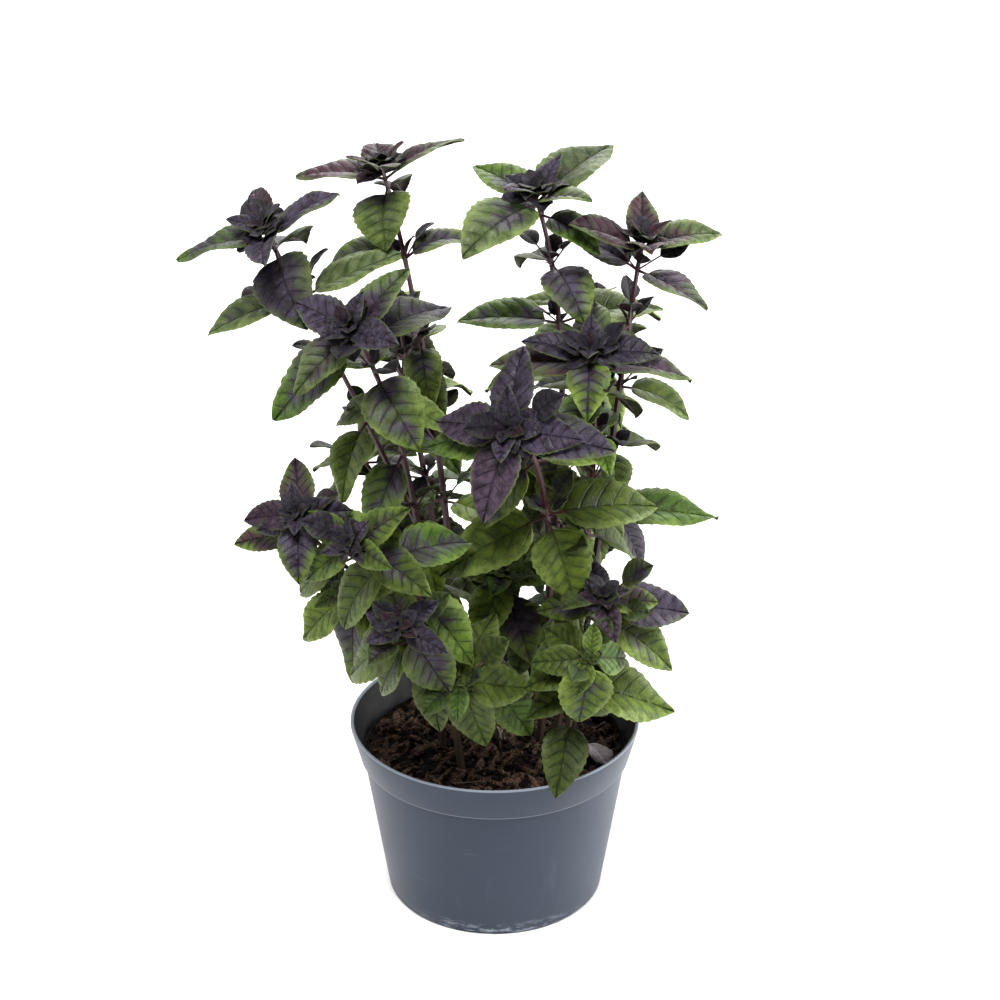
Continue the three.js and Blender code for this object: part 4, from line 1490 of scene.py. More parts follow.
@dataclass
class TubePattern:
    """A straight closed tube, one long and one in radius, that stems, petioles and ribs are copied from."""

    name: str
    sides: int
    steps: int
    material: Material

    def make(self) -> None:
        """Model the pattern."""
        circle = {"vertices": self.sides, "radius": 1, "fill_type": "NGON"}
        self.piece = start(self.name, bpy.ops.mesh.primitive_circle_add, **circle)
        with edit_mode():
            bpy.ops.mesh.select_all(action="SELECT")
            bpy.ops.mesh.flip_normals()
            for _ in range(self.steps):
                bpy.ops.mesh.extrude_region_move(TRANSFORM_OT_translate={"value": (0, 0, 1 / self.steps)})
            face_outwards()
        self.piece.data.materials.append(self.material)
        self.x, self.y, self.share = read_points(self.piece).T

    def along(self, name: str, course: Course, end: float, radius: Callable[[float], float],
              square: float = 0.12) -> Piece:
        """Copy the tube and lay the copy along a course.

        Args:
            name: the copy's name.
            course: the curve that it follows from its start.
            end: the share of the course at which it ends.
            radius: gives its radius at a share of the course.
            square: how square its section is.

        Returns:
            The copy.
        """
        points = np.empty((len(self.share), 3))
        for level in np.unique(self.share.round(6)):
            ring = np.abs(self.share - level) < 1e-4
            share = end * float(level)
            side, other = frame_round(course.heading(share))
            turn = np.arctan2(self.y[ring], self.x[ring])
            size = radius(share) * (1 - square + square * np.cos(4 * turn))
            points[ring] = (
                course.at(share) + np.outer(size * np.cos(turn), side) + np.outer(size * np.sin(turn), other)
            )
        return copy_of(self.piece, name, points)

    def under(self, leaf: Leaf, rib: Rib, thick: float = 1) -> Piece:
        """Copy the tube and lay the copy along a leaf's petiole and under its blade.

        Args:
            leaf: the leaf.
            rib: how it tapers.
            thick: how many times thicker it is.

        Returns:
            The copy.
        """
        share = -1 + (1 + rib.stops[-1]) * self.share
        size = np.interp(share, rib.stops, rib.radii) * thick
        drop = np.interp(share, rib.drop_stops, rib.drops) * size
        points = leaf.place(share, -self.x * size, self.y * size - drop)
        return copy_of(self.piece, f"rib_{leaf.number}", points)


# The two pairs of small leaves where a pair leaves the stem: turn and lift in degrees, share of the size,
# more purple, fullness and the petiole's share of the length. They are left out above a share of the stem,
# and where wobble is below a number. AXIL_SIZE and AXIL_PURPLE hold the value at the stem's foot, what it
# gains up to the tip, and how far it strays. The lower ones are less purple, between two heights.
AXIL_PAIRS = ((28, 50, 1, 0, 1.3, 0.85), (-40, 62, 0.7, 0.2, 1.25, 0.5))
AXIL_SIZE = (12, 9, 3)
AXIL_PURPLE = (0.1, 0.9, 0.2)
AXIL_LAST_SHARE = 0.95
AXIL_SKIPPED = -0.6
AXIL_PURPLE_HEIGHTS = (180, 300)
AXIL_PURPLE_SHARES = (0.25, 1)
# The axil leaves are darkened as painted shade, because they sit at the joints inside the foliage.
AXIL_LIGHT = 0.42
AXIL_PUCKER = 0.03

# Small leaves that the solids leave out: their numbers, and their usual droop.
FIRST_SMALL_LEAF = 10000
SMALL_DROOP = 38
SMALL_LIGHT_STRAY = 0.2

# Bare stalks that are left at the joints: turns, lift and how much more of it each pair has, length, up to
# which share of the stem, and from which wobble on.
STUB_TURNS = (40, 130, 220, 310)
STUB_LIFT = 20
STUB_LIFT_STEP = 3
STUB_LENGTH = 11
STUB_LAST_SHARE = 0.92
STUB_FROM = 0.35

# The smallest pairs of a head: turn, share of the longest blade, lift, share of the core.
HEART_PAIRS = (
    (48, 0.4, 18, 0.6), (-42, 0.38, 26, 0.65), (90, 0.38, 40, 0.75), (20, 0.32, 38, 0.8),
    (-50, 0.3, 46, 0.85), (60, 0.28, 52, 0.9), (0, 0.26, 60, 0.94), (110, 0.22, 62, 0.97),
    (40, 0.2, 74, 1.0),
)
HEART_LEAST_BLADE = 34
HEART_LIFT_SHARE = 0.3
HEART_MORE_PURPLE = 0.1
HEART_LIGHT = 0.75
HEART_FULLNESS = 1.1
HEART_PUCKER = 0.075
HEART_WAVE = 0.06
HEAD_PUCKER = 0.026

# A head's blades are copied from the fine pattern above this length.
FINE_BLADE_FROM = 18

# A head's core: shares of its length, and its radius there.
CORE_STOPS = (0, 0.6, 1)
CORE_RADII = (STEM_TIP_RADIUS, 1.5, 0.5)

# How thick a rib is, against the usual: at no length, more for each millimetre of blade, and at most.
RIB_LEAST = 0.3
RIB_GAIN = 0.016
RIB_MOST = 0.95

# The share of a blade's length at which it is about widest.
WIDEST_SHARE = 0.4


@dataclass
class Foliage:
    """The leafy stems and the heads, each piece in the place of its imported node."""

    layout: Layout
    upper: Material
    under: Material
    stalk: Material
    next_number: int = FIRST_SMALL_LEAF

    def make_patterns(self) -> None:
        """Model what the foliage repeats."""
        both = (self.upper, self.under)
        self.big = BladePattern("blade_pattern", 10, 3, 10, both)
        self.small = BladePattern("small_blade_pattern", 5, 2, 6, both, tooth=0.06)
        self.spoon = BladePattern("spoon_blade_pattern", 6, 2, 6, both, tooth=0.05, belly=0.85)
        self.crumple = BladePattern("crumpled_blade_pattern", 4, 2, 4, both, tooth=0.05, belly=0.9)
        self.stem = TubePattern("stem_pattern", 8, 48, self.stalk)
        self.rib = TubePattern("rib_pattern", 6, 10, self.stalk)
        self.patterns = (self.big, self.small, self.spoon, self.crumple, self.stem, self.rib)
        for pattern in self.patterns:
            pattern.make()

    def take_number(self) -> int:
        """Return the number of the next leaf that the solids leave out."""
        self.next_number += 1
        return self.next_number - 1

    def rib_of(self, leaf: Leaf) -> Piece:
        """Return the petiole of a leaf with its rib."""
        return self.rib.under(leaf, LIVE_RIB, min(RIB_MOST, RIB_LEAST + leaf.length * RIB_GAIN))

    def small_leaf(self, joint: Tuple[Array, Array], turn: float, lift: float, length: float,
                   colour: Tuple[float, float], fullness: float = 0.95,
                   stalk: float = PETIOLE_SHARE) -> Leaf:
        """Lay out a small leaf that the solids leave out.

        Args:
            joint: where it leaves its stem, and the direction that it stands off from.
            turn: its turn about the vertical, in degrees.
            lift: its rise at the stem, in degrees.
            length: its blade's length in millimetres.
            colour: how purple and how light it is.
            fullness: how broad it is, against the usual.
            stalk: its petiole's length, as a share of its blade's.

        Returns:
            The leaf.
        """
        n = self.take_number()
        root, axis = joint
        stray = AXIL_STAND
        along, face = leaf_frame(axis, turn + stray.turn * wobble(n, Salt.TURN),
                                 lift + stray.lift * wobble(n, Salt.LIFT), stray.roll * wobble(n, Salt.ROLL))
        length *= 1 + stray.length * wobble(n, Salt.LENGTH)
        droop = (SMALL_DROOP + stray.droop * wobble(n, Salt.DROOP)) * DEG
        purple, light = colour
        tint = Tint(purple, light * (1 + SMALL_LIGHT_STRAY * wobble(n, Salt.LIGHT)), wobble(n, Salt.SEED))
        return Leaf(n, root, along, face, length, droop, fullness, tint, stalk)

    def fits(self, leaf: Leaf) -> bool:
        """Tell whether a leaf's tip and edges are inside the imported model's box.

        Args:
            leaf: the leaf.

        Returns:
            True where they are.
        """
        probes = leaf.tip_and_edges(WIDEST_SHARE, leaf.half) * MM
        low, high = (np.array(corner) for corner in CAD_BOX)
        return bool((probes > low).all() and (probes < high).all())

    def axil_leaves(self, shoot: Shoot) -> Iterator[Leaf]:
        """Lay out the small leaves that sprout where the pairs leave a stem.

        Args:
            shoot: the stem.

        Yields:
            Each leaf.
        """
        for i, (share, turn, length, _lift, _droop) in enumerate(shoot.pairs):
            salt = Salt.AXIL + i
            key = int(turn * 7 + length)
            if share > AXIL_LAST_SHARE or wobble(key, salt) < AXIL_SKIPPED:
                continue
            joint = shoot.joint(share, AXIL_STAND)
            foot, gain, stray = AXIL_SIZE
            size = foot + gain * share + stray * wobble(key, salt + 1)
            foot, gain, stray = AXIL_PURPLE
            purple = foot + gain * share + stray * wobble(key, salt + 2)
            purple *= float(np.interp(joint[0][2], AXIL_PURPLE_HEIGHTS, AXIL_PURPLE_SHARES))
            for side in (turn, turn + 180):
                for more_turn, lift, part, more_purple, fullness, stalk in AXIL_PAIRS:
                    blade = size * part
                    colour = (purple + more_purple, AXIL_LIGHT)
                    yield self.small_leaf(joint, side + more_turn, lift, blade, colour, fullness, stalk)

    def late_leaves(self, shoot: Shoot) -> Iterator[Leaf]:
        """Lay out the large leaves of a shoot that the solids leave out.

        Args:
            shoot: the stem.

        Yields:
            Each leaf.
        """
        late = LATE_LEAVES.get(shoot.head_node, ())
        for share, turn, lift, length, droop, fullness, purple, light in late:
            root, axis = shoot.joint(share, PAIR_STAND)
            along, face = leaf_frame(axis, turn, lift, 0)
            tint = Tint(purple, light, 0)
            yield Leaf(self.take_number(), root, along, face, length, droop * DEG, fullness, tint)

    def stubs(self, shoot: Shoot) -> Iterator[Leaf]:
        """Lay out the leaves that only left their stalks at a few of the joints.

        Args:
            shoot: the stem.

        Yields:
            Each leaf.
        """
        for i, (share, turn, length, _lift, _droop) in enumerate(shoot.pairs):
            key = int(turn * 5 + length)
            joint = (shoot.course.at(share), shoot.course.heading(share))
            for side in STUB_TURNS:
                if share < STUB_LAST_SHARE and wobble(key, side) > STUB_FROM:
                    lift = STUB_LIFT + STUB_LIFT_STEP * i
                    yield self.small_leaf(joint, turn + side, lift, STUB_LENGTH, (1, 1))

    def build_stem(self, name: str, shoots: Sequence[Shoot]) -> None:
        """Build a leafy stem with its side branches.

        Args:
            name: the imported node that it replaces.
            shoots: the stem and its branches.
        """
        pieces: List[Piece] = []
        for shoot in shoots:
            pieces.append(self.stem.along("shaft", shoot.course, shoot.head_share, shoot.radius))
            for leaf in (*shoot.pair_leaves, *self.late_leaves(shoot)):
                pieces += [self.big.copy(leaf), self.rib_of(leaf)]
            for leaf in filter(self.fits, self.axil_leaves(shoot)):
                pieces += [self.spoon.copy(leaf, AXIL_PUCKER), self.rib_of(leaf)]
            pieces += [self.rib_of(leaf) for leaf in filter(self.fits, self.stubs(shoot))]
        finish(join(pieces, f"leafy_{name}"), "leaf", name)

    def build_head(self, shoot: Shoot) -> None:
        """Build a head of young leaves, with the smallest ones at its growing point.

        Args:
            shoot: the stem that it ends.
        """
        pieces = [self.core(shoot)]
        for leaf in shoot.head_leaves:
            pattern = self.big if leaf.length > FINE_BLADE_FROM else self.small
            pieces += [pattern.copy(leaf, HEAD_PUCKER), self.rib_of(leaf)]
        turn, longest, lift, _forward = shoot.head
        purple = HEAD_PURPLE.get(shoot.head_node, FAR_HEAD_PURPLE)[2]
        longest = CLOSED_HEARTS.get(shoot.head_node, 1) * max(longest, HEART_LEAST_BLADE)
        lift = max(lift, 0) * HEART_LIFT_SHARE
        for add_turn, size, add_lift, core in HEART_PAIRS:
            joint = (shoot.core_point(core), shoot.head_axis())
            for half in (0, 180):
                leaf = self.small_leaf(joint, turn + add_turn + half, lift + add_lift, longest * size,
                                       (purple + HEART_MORE_PURPLE, HEART_LIGHT), HEART_FULLNESS)
                if self.fits(leaf):
                    pieces.append(self.crumple.copy(leaf, HEART_PUCKER, HEART_WAVE))
        finish(join(pieces, f"young_{shoot.head_node}"), "young_leaf", shoot.head_node)

    def core(self, shoot: Shoot) -> Piece:
        """Build a head's short core.

        Args:
            shoot: the stem that the head ends.

        Returns:
            The piece.
        """
        points = np.array([shoot.core_point(share) for share in self.rib.share])
        side, other = frame_round(shoot.course.heading(1))
        size = np.interp(self.rib.share, CORE_STOPS, CORE_RADII)
        points += np.outer(self.rib.x * size, side) + np.outer(self.rib.y * size, other)
        return copy_of(self.rib.piece, "core", points)

    def build(self) -> None:
        """Build all the leafy stems and heads."""
        self.make_patterns()
        for name, _axes in PLANTS:
            node = f"stem_{name}"
            self.build_stem(node, [shoot for shoot in self.layout.shoots if shoot.node == node])
        for shoot in self.layout.shoots:
            self.build_head(shoot)
        discard(*(pattern.piece for pattern in self.patterns))


@dataclass
class Pot:
    """The nursery pot: a turned shell with a collar, a raised floor, drain holes and foot notches.

    Fields: rounds holds the edges that are rounded: the least and greatest height, the radius that they lie
    outside of, and how far the rounding reaches. A face is inside from lip_depth down and wall_depth in.
    """

    plastic: Material
    inside: Material
    sides: int = 128
    lip_round: float = 0.7
    foot_chamfer: float = 1.6
    middle_foot: float = 16
    foot_ring: float = 8
    drain_holes: int = 6
    drain_radius: float = 5
    drain_circle: float = 46
    drain_depth: float = 20
    notches: int = 5
    notch_width: float = 20
    notch_height: float = 2
    notch_depth: float = 14
    notch_round: float = 0.9
    first_notch: float = 258
    lip_depth: float = 1.2
    wall_depth: float = 0.9
    rounds: Tuple[Tuple[float, float, float, float], ...] = (
        (POT_HEIGHT - 2.2 * lip_round, POT_HEIGHT + 1, 90, 0.35), (98, 99.5, 87.5, 0.55), (1, 2, 60, 0.5),
    )

    def profile(self) -> List[Tuple[float, float]]:
        """Lay out the section of the shell.

        Returns:
            Radius and height of its corners, from the middle foot out, up, over the lip and back in.
        """
        ring = POT_FOOT_RADIUS - self.foot_ring
        return [
            (self.middle_foot, 0),
            (self.middle_foot + FLOOR_LIFT, FLOOR_LIFT),
            (ring - FLOOR_LIFT, FLOOR_LIFT),
            (ring, 0),
            (POT_FOOT_RADIUS - self.foot_chamfer, 0),
            (wall_radius(self.foot_chamfer), self.foot_chamfer),
            (wall_radius(BAND_FOOT_Z), BAND_FOOT_Z),
            (BAND_FOOT_RADIUS, BAND_FOOT_Z),
            (POT_RIM_RADIUS, POT_HEIGHT - 2 * self.lip_round),
            (POT_RIM_RADIUS - self.lip_round / 2, POT_HEIGHT),
            (POT_RIM_RADIUS - self.lip_round - POT_WALL, POT_HEIGHT - self.lip_round),
            (BAND_FOOT_RADIUS - POT_WALL, BAND_FOOT_Z + POT_WALL),
            (wall_radius(BAND_FOOT_Z) - POT_WALL, BAND_FOOT_Z - POT_WALL),
            (FLOOR_RADIUS, FLOOR_TOP),
        ]

    def turn_shell(self) -> Piece:
        """Model the shell by drawing a ring out along its section.

        Returns:
            The shell.
        """
        steps = [(r * MM, z * MM) for r, z in self.profile()]
        circle = {"vertices": self.sides, "radius": steps[0][0], "fill_type": "NGON"}
        shell = start("nursery_pot", bpy.ops.mesh.primitive_circle_add, **circle)
        with edit_mode():
            pick(Pick.EDGE, lambda place: True)
            for (r0, z0), (r1, z1) in zip(steps, steps[1:]):
                draw_ring(z1 - z0, r1 / r0)
            bpy.ops.mesh.edge_face_add()
            face_outwards()
            for low, high, inner, width in self.rounds:
                pick(Pick.VERT, lambda p: low * MM < p.z < high * MM and math.hypot(p.x, p.y) > inner * MM)
                bpy.ops.mesh.bevel(offset=width * MM, segments=3, profile=0.5, affect="EDGES")
        return shell

    def drain(self, turn: float) -> Piece:
        """Model what cuts one drain hole.

        Args:
            turn: its turn about the pot's axis.

        Returns:
            The cutter.
        """
        reach = self.drain_circle * MM
        place = (reach * math.cos(turn), reach * math.sin(turn), 0)
        radius, depth = self.drain_radius * MM, self.drain_depth * MM
        add = bpy.ops.mesh.primitive_cylinder_add
        return start("drain_cutter", add, vertices=32, radius=radius, depth=depth, location=place)

    def notch(self, turn: float) -> Piece:
        """Model what cuts one notch in the foot.

        Args:
            turn: its turn about the pot's axis.

        Returns:
            The cutter.
        """
        reach = (POT_FOOT_RADIUS - self.foot_ring / 2) * MM
        place = (reach * math.cos(turn), reach * math.sin(turn), 0)
        add = bpy.ops.mesh.primitive_cube_add
        cutter = start("notch_cutter", add, size=1, location=place, rotation=(0, 0, turn))
        cutter.scale = (self.notch_depth * MM, self.notch_width * MM, 2 * self.notch_height * MM)
        bpy.ops.object.transform_apply(location=True, rotation=True, scale=True)
        with edit_mode():
            pick(Pick.EDGE, lambda place: place.z > (self.notch_height - 0.1) * MM)
            bpy.ops.mesh.bevel(offset=self.notch_round * MM, segments=3, affect="EDGES")
        return cutter

    def build(self) -> None:
        """Build and dress the pot."""
        shell = self.turn_shell()
        cutters = [self.drain((i + 0.5) / self.drain_holes * FULL_TURN) for i in range(self.drain_holes)]
        for i in range(self.notches):
            cutters.append(self.notch(self.first_notch * DEG + i / self.notches * FULL_TURN))
        cutter = join(cutters, "pot_cutters")
        apply(shell, "BOOLEAN", operation="DIFFERENCE", solver="EXACT", object=cutter)
        discard(cutter)
        shell.data.materials.clear()
        shell.data.materials.append(self.plastic)
        shell.data.materials.append(self.inside)
        take(shell)
        with edit_mode():
            pick(Pick.FACE, self.is_inside)
            shell.active_material_index = 1
            bpy.ops.object.material_slot_assign()
        finish(shell, "pot", "pot", angle=32)

    def is_inside(self, place: Vector) -> bool:
        """Tell whether a face is on the inside of the shell, below its lip.

        Args:
            place: the face's middle.

        Returns:
            True where it is.
        """
        z = place.z / MM
        heights = (0, BAND_FOOT_Z, BAND_FOOT_Z + 0.01, POT_HEIGHT)
        radii = (POT_FOOT_RADIUS, wall_radius(BAND_FOOT_Z), BAND_FOOT_RADIUS, POT_RIM_RADIUS)
        outer = float(np.interp(z, heights, radii))
        inwards = outer - math.hypot(place.x, place.y) / MM
        return FLOOR_LIFT + 1 < z < POT_HEIGHT - self.lip_depth and inwards > self.wall_depth


@dataclass(frozen=True)
class Lump:
    """A kind of chip or crumb: its share, its stretch, its sizes, and how flat and how rough it is."""

    name: str
    share: float
    stretch: float
    least: float
    greatest: float
    usual: float
    flat: float
    rough: float


@dataclass
class Soil:
    """The filling of peat, with bark chips and fibres on it.

    Fields: grains and heights are millimetres, and fractal holds the falloff, step and octaves of the rough
    ones. spread is the share of the surface's radius that gets chips, and fibre_spread that which gets
    fibres. A chip leans by up to its tilt, and lies chip_rise times its size above the surface. fibre_half
    is half a fibre's length: least, greatest and usual. Rises and radii go from the first to the second.
    """

    peat: Material
    bark: Material
    fibre: Material
    straw: Material
    sides: int = 240
    rings: int = 44
    gap: float = 0.3
    rough_grain: float = 7
    rough_height: float = 2.0
    fractal: Tuple[float, float, int] = (0.8, 2.1, 4)
    clod_grain: float = 3.2
    clod_height: float = 1.6
    sink: float = 0.6
    chips: int = 1250
    spread: float = 0.97
    roundness: float = 0.55
    narrow: float = 0.62
    tilt: float = 0.9
    chip_rise: float = 0.25
    fibres: int = 170
    fibre_spread: float = 0.88
    fibre_half: Tuple[float, float, float] = (3, 13, 5)
    fibre_bow: float = 0.5
    fibre_rise: Tuple[float, float] = (0.2, 2.2)
    fibre_radius: Tuple[float, float] = (0.16, 0.42)
    pale_every: int = 9
    seed: int = 7
    kinds: Tuple[Lump, ...] = (
        Lump("crumb", 0.5, 1, 0.6, 3.2, 0.9, 0.75, 0.24),
        Lump("bark_chip", 0.32, 1.2, 1.0, 5.6, 1.7, 0.26, 0.2),
        Lump("bark_sliver", 0.15, 2.6, 1.1, 4.4, 1.6, 0.3, 0.14),
        Lump("splinter", 0.03, 1.8, 0.8, 2.4, 1.2, 0.2, 0.12),
    )

    def build_filling(self) -> None:
        """Model the filling: a ring drawn up the wall and in over the top, with a broken surface."""
        edge = (SOIL_EDGE_RADIUS - self.gap) * MM
        foot = (FLOOR_RADIUS - self.gap) * MM
        low = (FLOOR_TOP + self.gap) * MM
        circle = {"vertices": self.sides, "radius": foot, "fill_type": "NGON", "location": (0, 0, low)}
        body = start("peat_filling", bpy.ops.mesh.primitive_circle_add, **circle)
        bpy.ops.object.transform_apply(location=True, rotation=True, scale=True)
        with edit_mode():
            pick(Pick.EDGE, lambda place: True)
            draw_ring(SOIL_EDGE_Z * MM - low, edge / foot)
            for ring in range(self.rings, 1, -1):
                draw_ring(0, (ring - 1) / ring)
            bpy.ops.mesh.edge_face_add()
            bpy.ops.mesh.poke()
            face_outwards()
        points = read_points(body) / MM
        for point in points:
            if point[2] > SOIL_EDGE_Z - 1:
                point[2] = self.surface(point[0], point[1])
        write_points(body, points * MM)
        body.data.materials.append(self.peat)
        finish(body, "soil", "soil", angle=60)

    def surface(self, x: float, y: float) -> float:
        """Find the height of the broken surface, which is smoother at the wall.

        Args:
            x: the place to the right of the pot's axis.
            y: the place behind it.

        Returns:
            The height in millimetres.
        """
        r = math.hypot(x, y) / SOIL_EDGE_RADIUS
        rough = noise.fractal(Vector((x, y, 3)) / self.rough_grain, *self.fractal)
        clods = noise.noise(Vector((x, y, 9)) / self.clod_grain)
        broken = self.rough_height * rough + self.clod_height * clods
        return soil_height(x, y) + (1 - 0.6 * r ** 6) * broken - self.sink

    def spot(self, draw: random.Random, spread: float) -> Tuple[float, float]:
        """Draw a place on the surface at random.

        Args:
            draw: the source of the random numbers.
            spread: the share of the surface's radius that it may be in.

        Returns:
            The place.
        """
        r = SOIL_EDGE_RADIUS * math.sqrt(draw.random()) * spread
        turn = draw.uniform(0, FULL_TURN)
        return r * math.cos(turn), r * math.sin(turn)

    def lump(self, kind: Lump, material: Material) -> Piece:
        """Model one chip or crumb, as a start for many.

        Args:
            kind: its kind.
            material: its material.

        Returns:
            The lump.
        """
        piece = start(kind.name, bpy.ops.mesh.primitive_cube_add, size=2)
        with edit_mode():
            bpy.ops.mesh.select_all(action="SELECT")
            bpy.ops.mesh.subdivide(number_cuts=1)
            bpy.ops.transform.tosphere(value=self.roundness)
            bpy.ops.transform.resize(value=(1, self.narrow, kind.flat))
            bpy.ops.transform.vertex_random(offset=kind.rough, uniform=0.6, seed=self.seed)
        piece.data.materials.append(material)
        return piece

    def build_chips(self) -> None:
        """Scatter bark chips and peat crumbs over the surface."""
        draw = random.Random(self.seed)
        materials = (self.peat, self.bark, self.bark, self.straw)
        starts = [self.lump(kind, material) for kind, material in zip(self.kinds, materials)]
        shapes = [read_points(piece) for piece in starts]
        pieces = []
        for i in range(self.chips):
            which = draw.choices(range(len(starts)), [kind.share for kind in self.kinds])[0]
            kind = self.kinds[which]
            x, y = self.spot(draw, self.spread)
            size = draw.triangular(kind.least, kind.greatest, kind.usual)
            if math.hypot(x, y) + size * kind.stretch * 1.2 > SOIL_EDGE_RADIUS:
                continue
            upwards = Vector((draw.uniform(-self.tilt, self.tilt), draw.uniform(-self.tilt, self.tilt), 1))
            tilt = np.array(upwards.to_track_quat("Z", "Y").to_matrix())
            heading = draw.uniform(0, FULL_TURN)
            c, s = math.cos(heading), math.sin(heading)
            turned = shapes[which] * (size * kind.stretch, size, size)
            turned = turned @ np.array(((c, s, 0), (-s, c, 0), (0, 0, 1)))
            points = turned @ tilt.T + (x, y, self.surface(x, y) + size * self.chip_rise)
            pieces.append(copy_of(starts[which], f"chip_{i}", points))
        discard(*starts)
        finish(join(pieces, "bark_and_crumbs"), "soil", angle=40)

    def build_fibres(self) -> None:
        """Lay fine fibres and a few bits of straw on the surface."""
        draw = random.Random(self.seed + 1)
        materials = {"fibre_pattern": self.fibre, "root_pattern": self.straw}
        patterns = [TubePattern(name, 5, 7, material) for name, material in materials.items()]
        for pattern in patterns:
            pattern.make()
        pieces = []
        for i in range(self.fibres):
            x, y = self.spot(draw, self.fibre_spread)
            heading = draw.uniform(0, math.pi)
            reach = draw.triangular(*self.fibre_half)
            points = []
            for step, bow in ((-1, 0), (0, draw.uniform(-self.fibre_bow, self.fibre_bow)), (1, 0)):
                px = x + reach * (step * math.cos(heading) - bow * math.sin(heading))
                py = y + reach * (step * math.sin(heading) + bow * math.cos(heading))
                if math.hypot(px, py) > SOIL_EDGE_RADIUS - 2:
                    break
                points.append(np.array((px, py, self.surface(px, py) + draw.uniform(*self.fibre_rise))))
            if len(points) < 3:
                continue
            thin = draw.uniform(*self.fibre_radius)
            course = Course(*points)
            pattern = patterns[i % self.pale_every == 0]
            fibre = pattern.along(f"fibre_{i}", course, 1, lambda share: thin * (1.1 - 0.5 * share), 0)
            pieces.append(fibre)
        discard(*(pattern.piece for pattern in patterns))
        finish(join(pieces, "peat_fibres"), "soil")

    def build(self) -> None:
        """Build and dress the soil."""
        self.build_filling()
        self.build_chips()
        self.build_fibres()


@dataclass
class DeadLeaf:
    """A dead leaf: where it is, its turn, lift and roll, and how its blade is cut and crumpled."""

    material: Material
    name: str
    number: int
    x: float
    y: float
    stand: Tuple[float, float, float]
    length: float
    droop: float
    fullness: float
    cut: Tuple[int, int, int]
    tooth: float
    crumple: Tuple[float, float]
    rib: Rib
    rib_steps: int

    def leaf(self, above: float) -> Leaf:
        """Lay out the leaf.

        Args:
            above: how far its stalk's end is above the soil, in millimetres.

        Returns:
            The leaf.
        """
        along, face = leaf_frame(UP, *self.stand)
        root = np.array((self.x, self.y, soil_height(self.x, self.y) + above))
        return Leaf(self.number, root, along, face, self.length, self.droop * DEG, self.fullness)

    def model(self, leaf: Leaf, *nodes: str) -> None:
        """Model the leaf with its stalk.

        Args:
            leaf: the leaf.
            nodes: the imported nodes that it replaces.
        """
        blade = BladePattern(f"{self.name}_pattern", *self.cut, (self.material, self.material), self.tooth)
        stalk = TubePattern(f"{self.name}_stalk_pattern", 6, self.rib_steps, self.material)
        blade.make()
        stalk.make()
        pieces = [blade.copy(leaf, *self.crumple), stalk.under(leaf, self.rib)]
        discard(blade.piece, stalk.piece)
        finish(join(pieces, self.name), "dried_leaf", *nodes)


@dataclass
class FallenLeaf(DeadLeaf):
    """The dried leaf that has dropped on the soil."""

    name: str = "dropped_leaf"
    number: int = 9999
    x: float = 59
    y: float = -2
    stand: Tuple[float, float, float] = (294, 8, -16)
    length: float = 34
    droop: float = 14
    fullness: float = 0.95
    cut: Tuple[int, int, int] = (9, 3, 10)
    tooth: float = 0.06
    crumple: Tuple[float, float] = (0.03, 0.05)
    rib: Rib = DRIED_RIB
    rib_steps: int = 10
    gap: float = 0.3

    def found_leaf(self) -> Leaf:
        """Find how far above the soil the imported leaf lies.

        Returns:
            The leaf.
        """
        corners = node_points("fallen_leaf")
        tried = []
        for step in range(int(self.length / self.gap)):
            leaf = self.leaf(step * self.gap)
            tried.append((float(np.linalg.norm(corners - leaf.place(1, 0, 0), axis=1).min()), step, leaf))
        return min(tried)[2]

    def build(self) -> None:
        """Build and dress the leaf."""
        self.model(self.found_leaf(), "fallen_leaf")


@dataclass
class WitheredTip(DeadLeaf):
    """A pale withered leaf that stands in the soil between the stems."""

    name: str = "withered_tip"
    number: int = 9998
    x: float = 7
    y: float = -4
    stand: Tuple[float, float, float] = (250, 68, 20)
    length: float = 25
    droop: float = 70
    fullness: float = 0.6
    cut: Tuple[int, int, int] = (6, 2, 6)
    tooth: float = 0.08
    crumple: Tuple[float, float] = (0.06, 0.12)
    rib: Rib = WITHERED_RIB
    rib_steps: int = 8
    depth: float = 2

    def build(self) -> None:
        """Build and dress the leaf."""
        self.model(self.leaf(-self.depth))


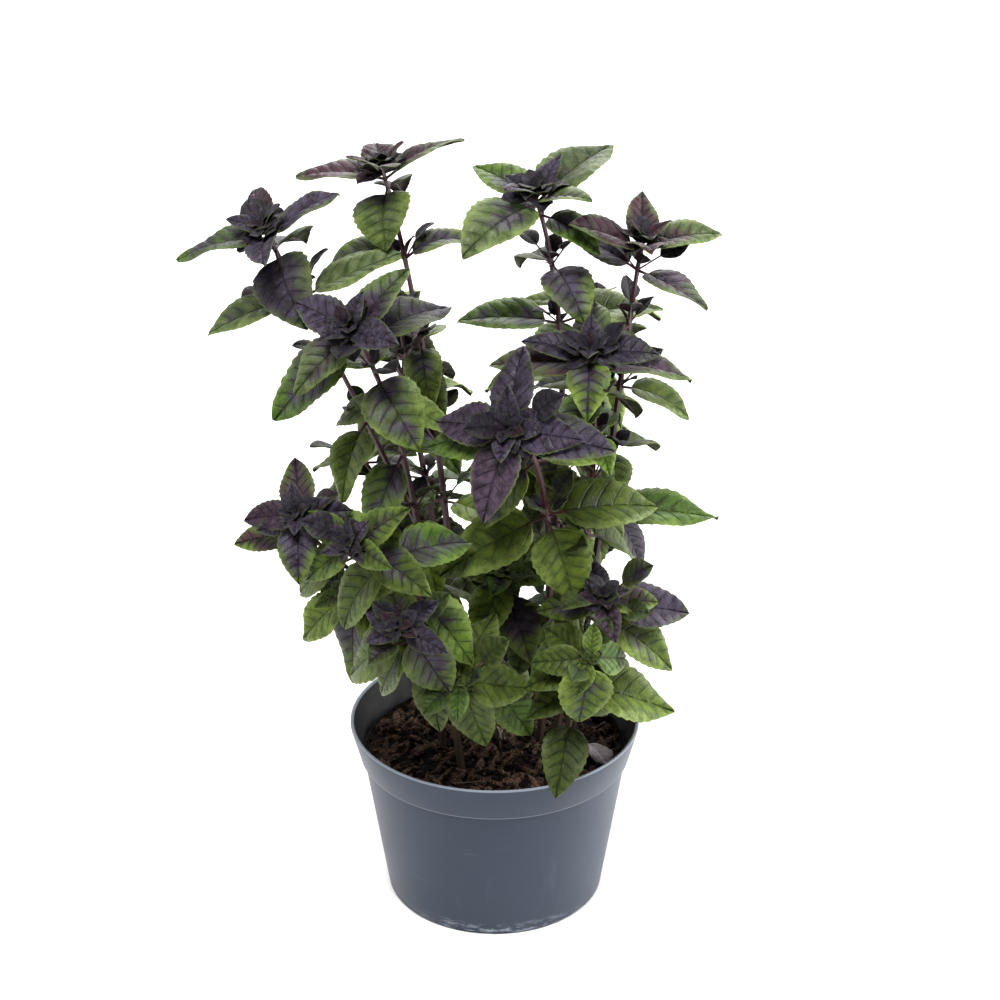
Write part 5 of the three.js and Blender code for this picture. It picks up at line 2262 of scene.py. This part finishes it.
@dataclass
class Studio:
    """The plain floor, the soft light and the camera.

    Fields: target, distance and lens are millimetres. The floor's reach and the panels' places and sizes are
    metres. The sun has a turn, a strength and a softness in degrees, and each panel a place, size and power.
    """

    target: Place = (3.4, 0, 279.2)
    distance: float = 1500
    elevation: float = 24.62
    lens: float = 85.64
    sensor: float = 36
    far_end: float = 200
    floor_reach: float = 60.0
    floor_colour: Colour = (0.76, 0.76, 0.76)
    sky: float = 0.11
    horizon: float = 0.5
    sky_heights: Tuple[float, float] = (0.1, 0.6)
    sun_turn: Place = (24, 0, -12)
    sun_strength: float = 4.9
    sun_soft: float = 30
    panel_aim: Place = (0, 0, 0.25)
    panels: Tuple[Tuple[str, Place, float, float], ...] = (
        ("right_panel", (1.1, 0.2, 0.6), 0.8, 24),
        ("left_panel", (-1.2, 0.2, 0.7), 0.8, 8),
        ("back_panel", (0.1, 2.2, 1.7), 1.6, 60),
    )

    def build_floor(self) -> None:
        """Lay the floor."""
        circle = {"vertices": 96, "radius": self.floor_reach, "fill_type": "NGON"}
        floor = start("studio_floor", bpy.ops.mesh.primitive_circle_add, **circle)
        recipe = Recipe("studio_floor", Roughness=0.9, Specular_IOR_Level=0.1, Base_Color=self.floor_colour)
        floor.data.materials.append(recipe.material)
        floor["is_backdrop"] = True

    def set_sky(self) -> None:
        """Set the pale surroundings, brighter at the horizon."""
        world = bpy.data.worlds.new("studio")
        world.use_nodes = True
        nodes, links = world.node_tree.nodes, world.node_tree.links
        height = nodes.new("ShaderNodeSeparateXYZ")
        fade = nodes.new("ShaderNodeMapRange")
        fade.interpolation_type = "SMOOTHSTEP"
        values = (*self.sky_heights, self.horizon, self.sky)
        for name, value in zip(("From Min", "From Max", "To Min", "To Max"), values):
            fade.inputs[name].default_value = value
        background = nodes["Background"].inputs
        background["Color"].default_value = (1, 1, 1, 1)
        links.new(nodes.new("ShaderNodeTexCoord").outputs["Generated"], height.inputs[0])
        links.new(height.outputs[2], fade.inputs["Value"])
        links.new(fade.outputs[0], background["Strength"])
        bpy.context.scene.world = world

    def hang_sun(self) -> None:
        """Hang the far soft light."""
        turn = tuple(angle * DEG for angle in self.sun_turn)
        lamp = start("key_light", bpy.ops.object.light_add, type="SUN", rotation=turn)
        lamp.data.energy = self.sun_strength
        lamp.data.angle = self.sun_soft * DEG

    def hang_panels(self) -> None:
        """Hang the square panels of light, aimed at the plant."""
        for name, place, size, power in self.panels:
            turn = (Vector(self.panel_aim) - Vector(place)).to_track_quat("-Z", "Y").to_euler()
            lamp = start(name, bpy.ops.object.light_add, type="AREA", location=place, rotation=turn)
            lamp.data.size = size
            lamp.data.energy = power
            lamp.visible_camera = False

    def set_camera(self) -> None:
        """Stand the camera where the photograph was taken from."""
        rise = self.elevation * DEG
        place = Vector(self.target) + self.distance * Vector((0, -math.cos(rise), math.sin(rise)))
        turn = (math.pi / 2 - rise, 0, 0)
        camera = start("camera", bpy.ops.object.camera_add, location=place * MM, rotation=turn)
        camera.data.lens = self.lens
        camera.data.sensor_width = self.sensor
        camera.data.clip_end = self.far_end
        bpy.context.scene.camera = camera

    def build(self) -> None:
        """Set up the floor, the lights, the camera and the colours."""
        self.build_floor()
        self.set_sky()
        self.hang_sun()
        self.hang_panels()
        self.set_camera()
        bpy.context.scene.view_settings.view_transform = "Standard"


def write_sizes() -> None:
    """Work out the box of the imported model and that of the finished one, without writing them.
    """
    boxes = {"cad": CAD_BOX, "visual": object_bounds()}
    plain = {name: [[float(v) for v in corner] for corner in box] for name, box in boxes.items()}


def main() -> None:
    """Build every piece in order."""
    logging.basicConfig(level=logging.INFO, format="%(name)s: %(message)s")
    layout = Layout()
    LOG.info("%d shoots, %d leaves not in the solids", len(layout.shoots), layout.missing)
    Studio().build()
    Pot(PotFinish().make(), ShadedInsideFinish().make()).build()
    Soil(PEAT.make(), BARK.make(), FIBRE.make(), STRAW.make()).build()
    FallenLeaf(DriedFinish().make()).build()
    WitheredTip(WITHERED.make()).build()
    Foliage(layout, BladeFinish().make(), UndersideFinish().make(), StalkFinish().make()).build()
    write_sizes()


if __name__ == "__main__":
    main()
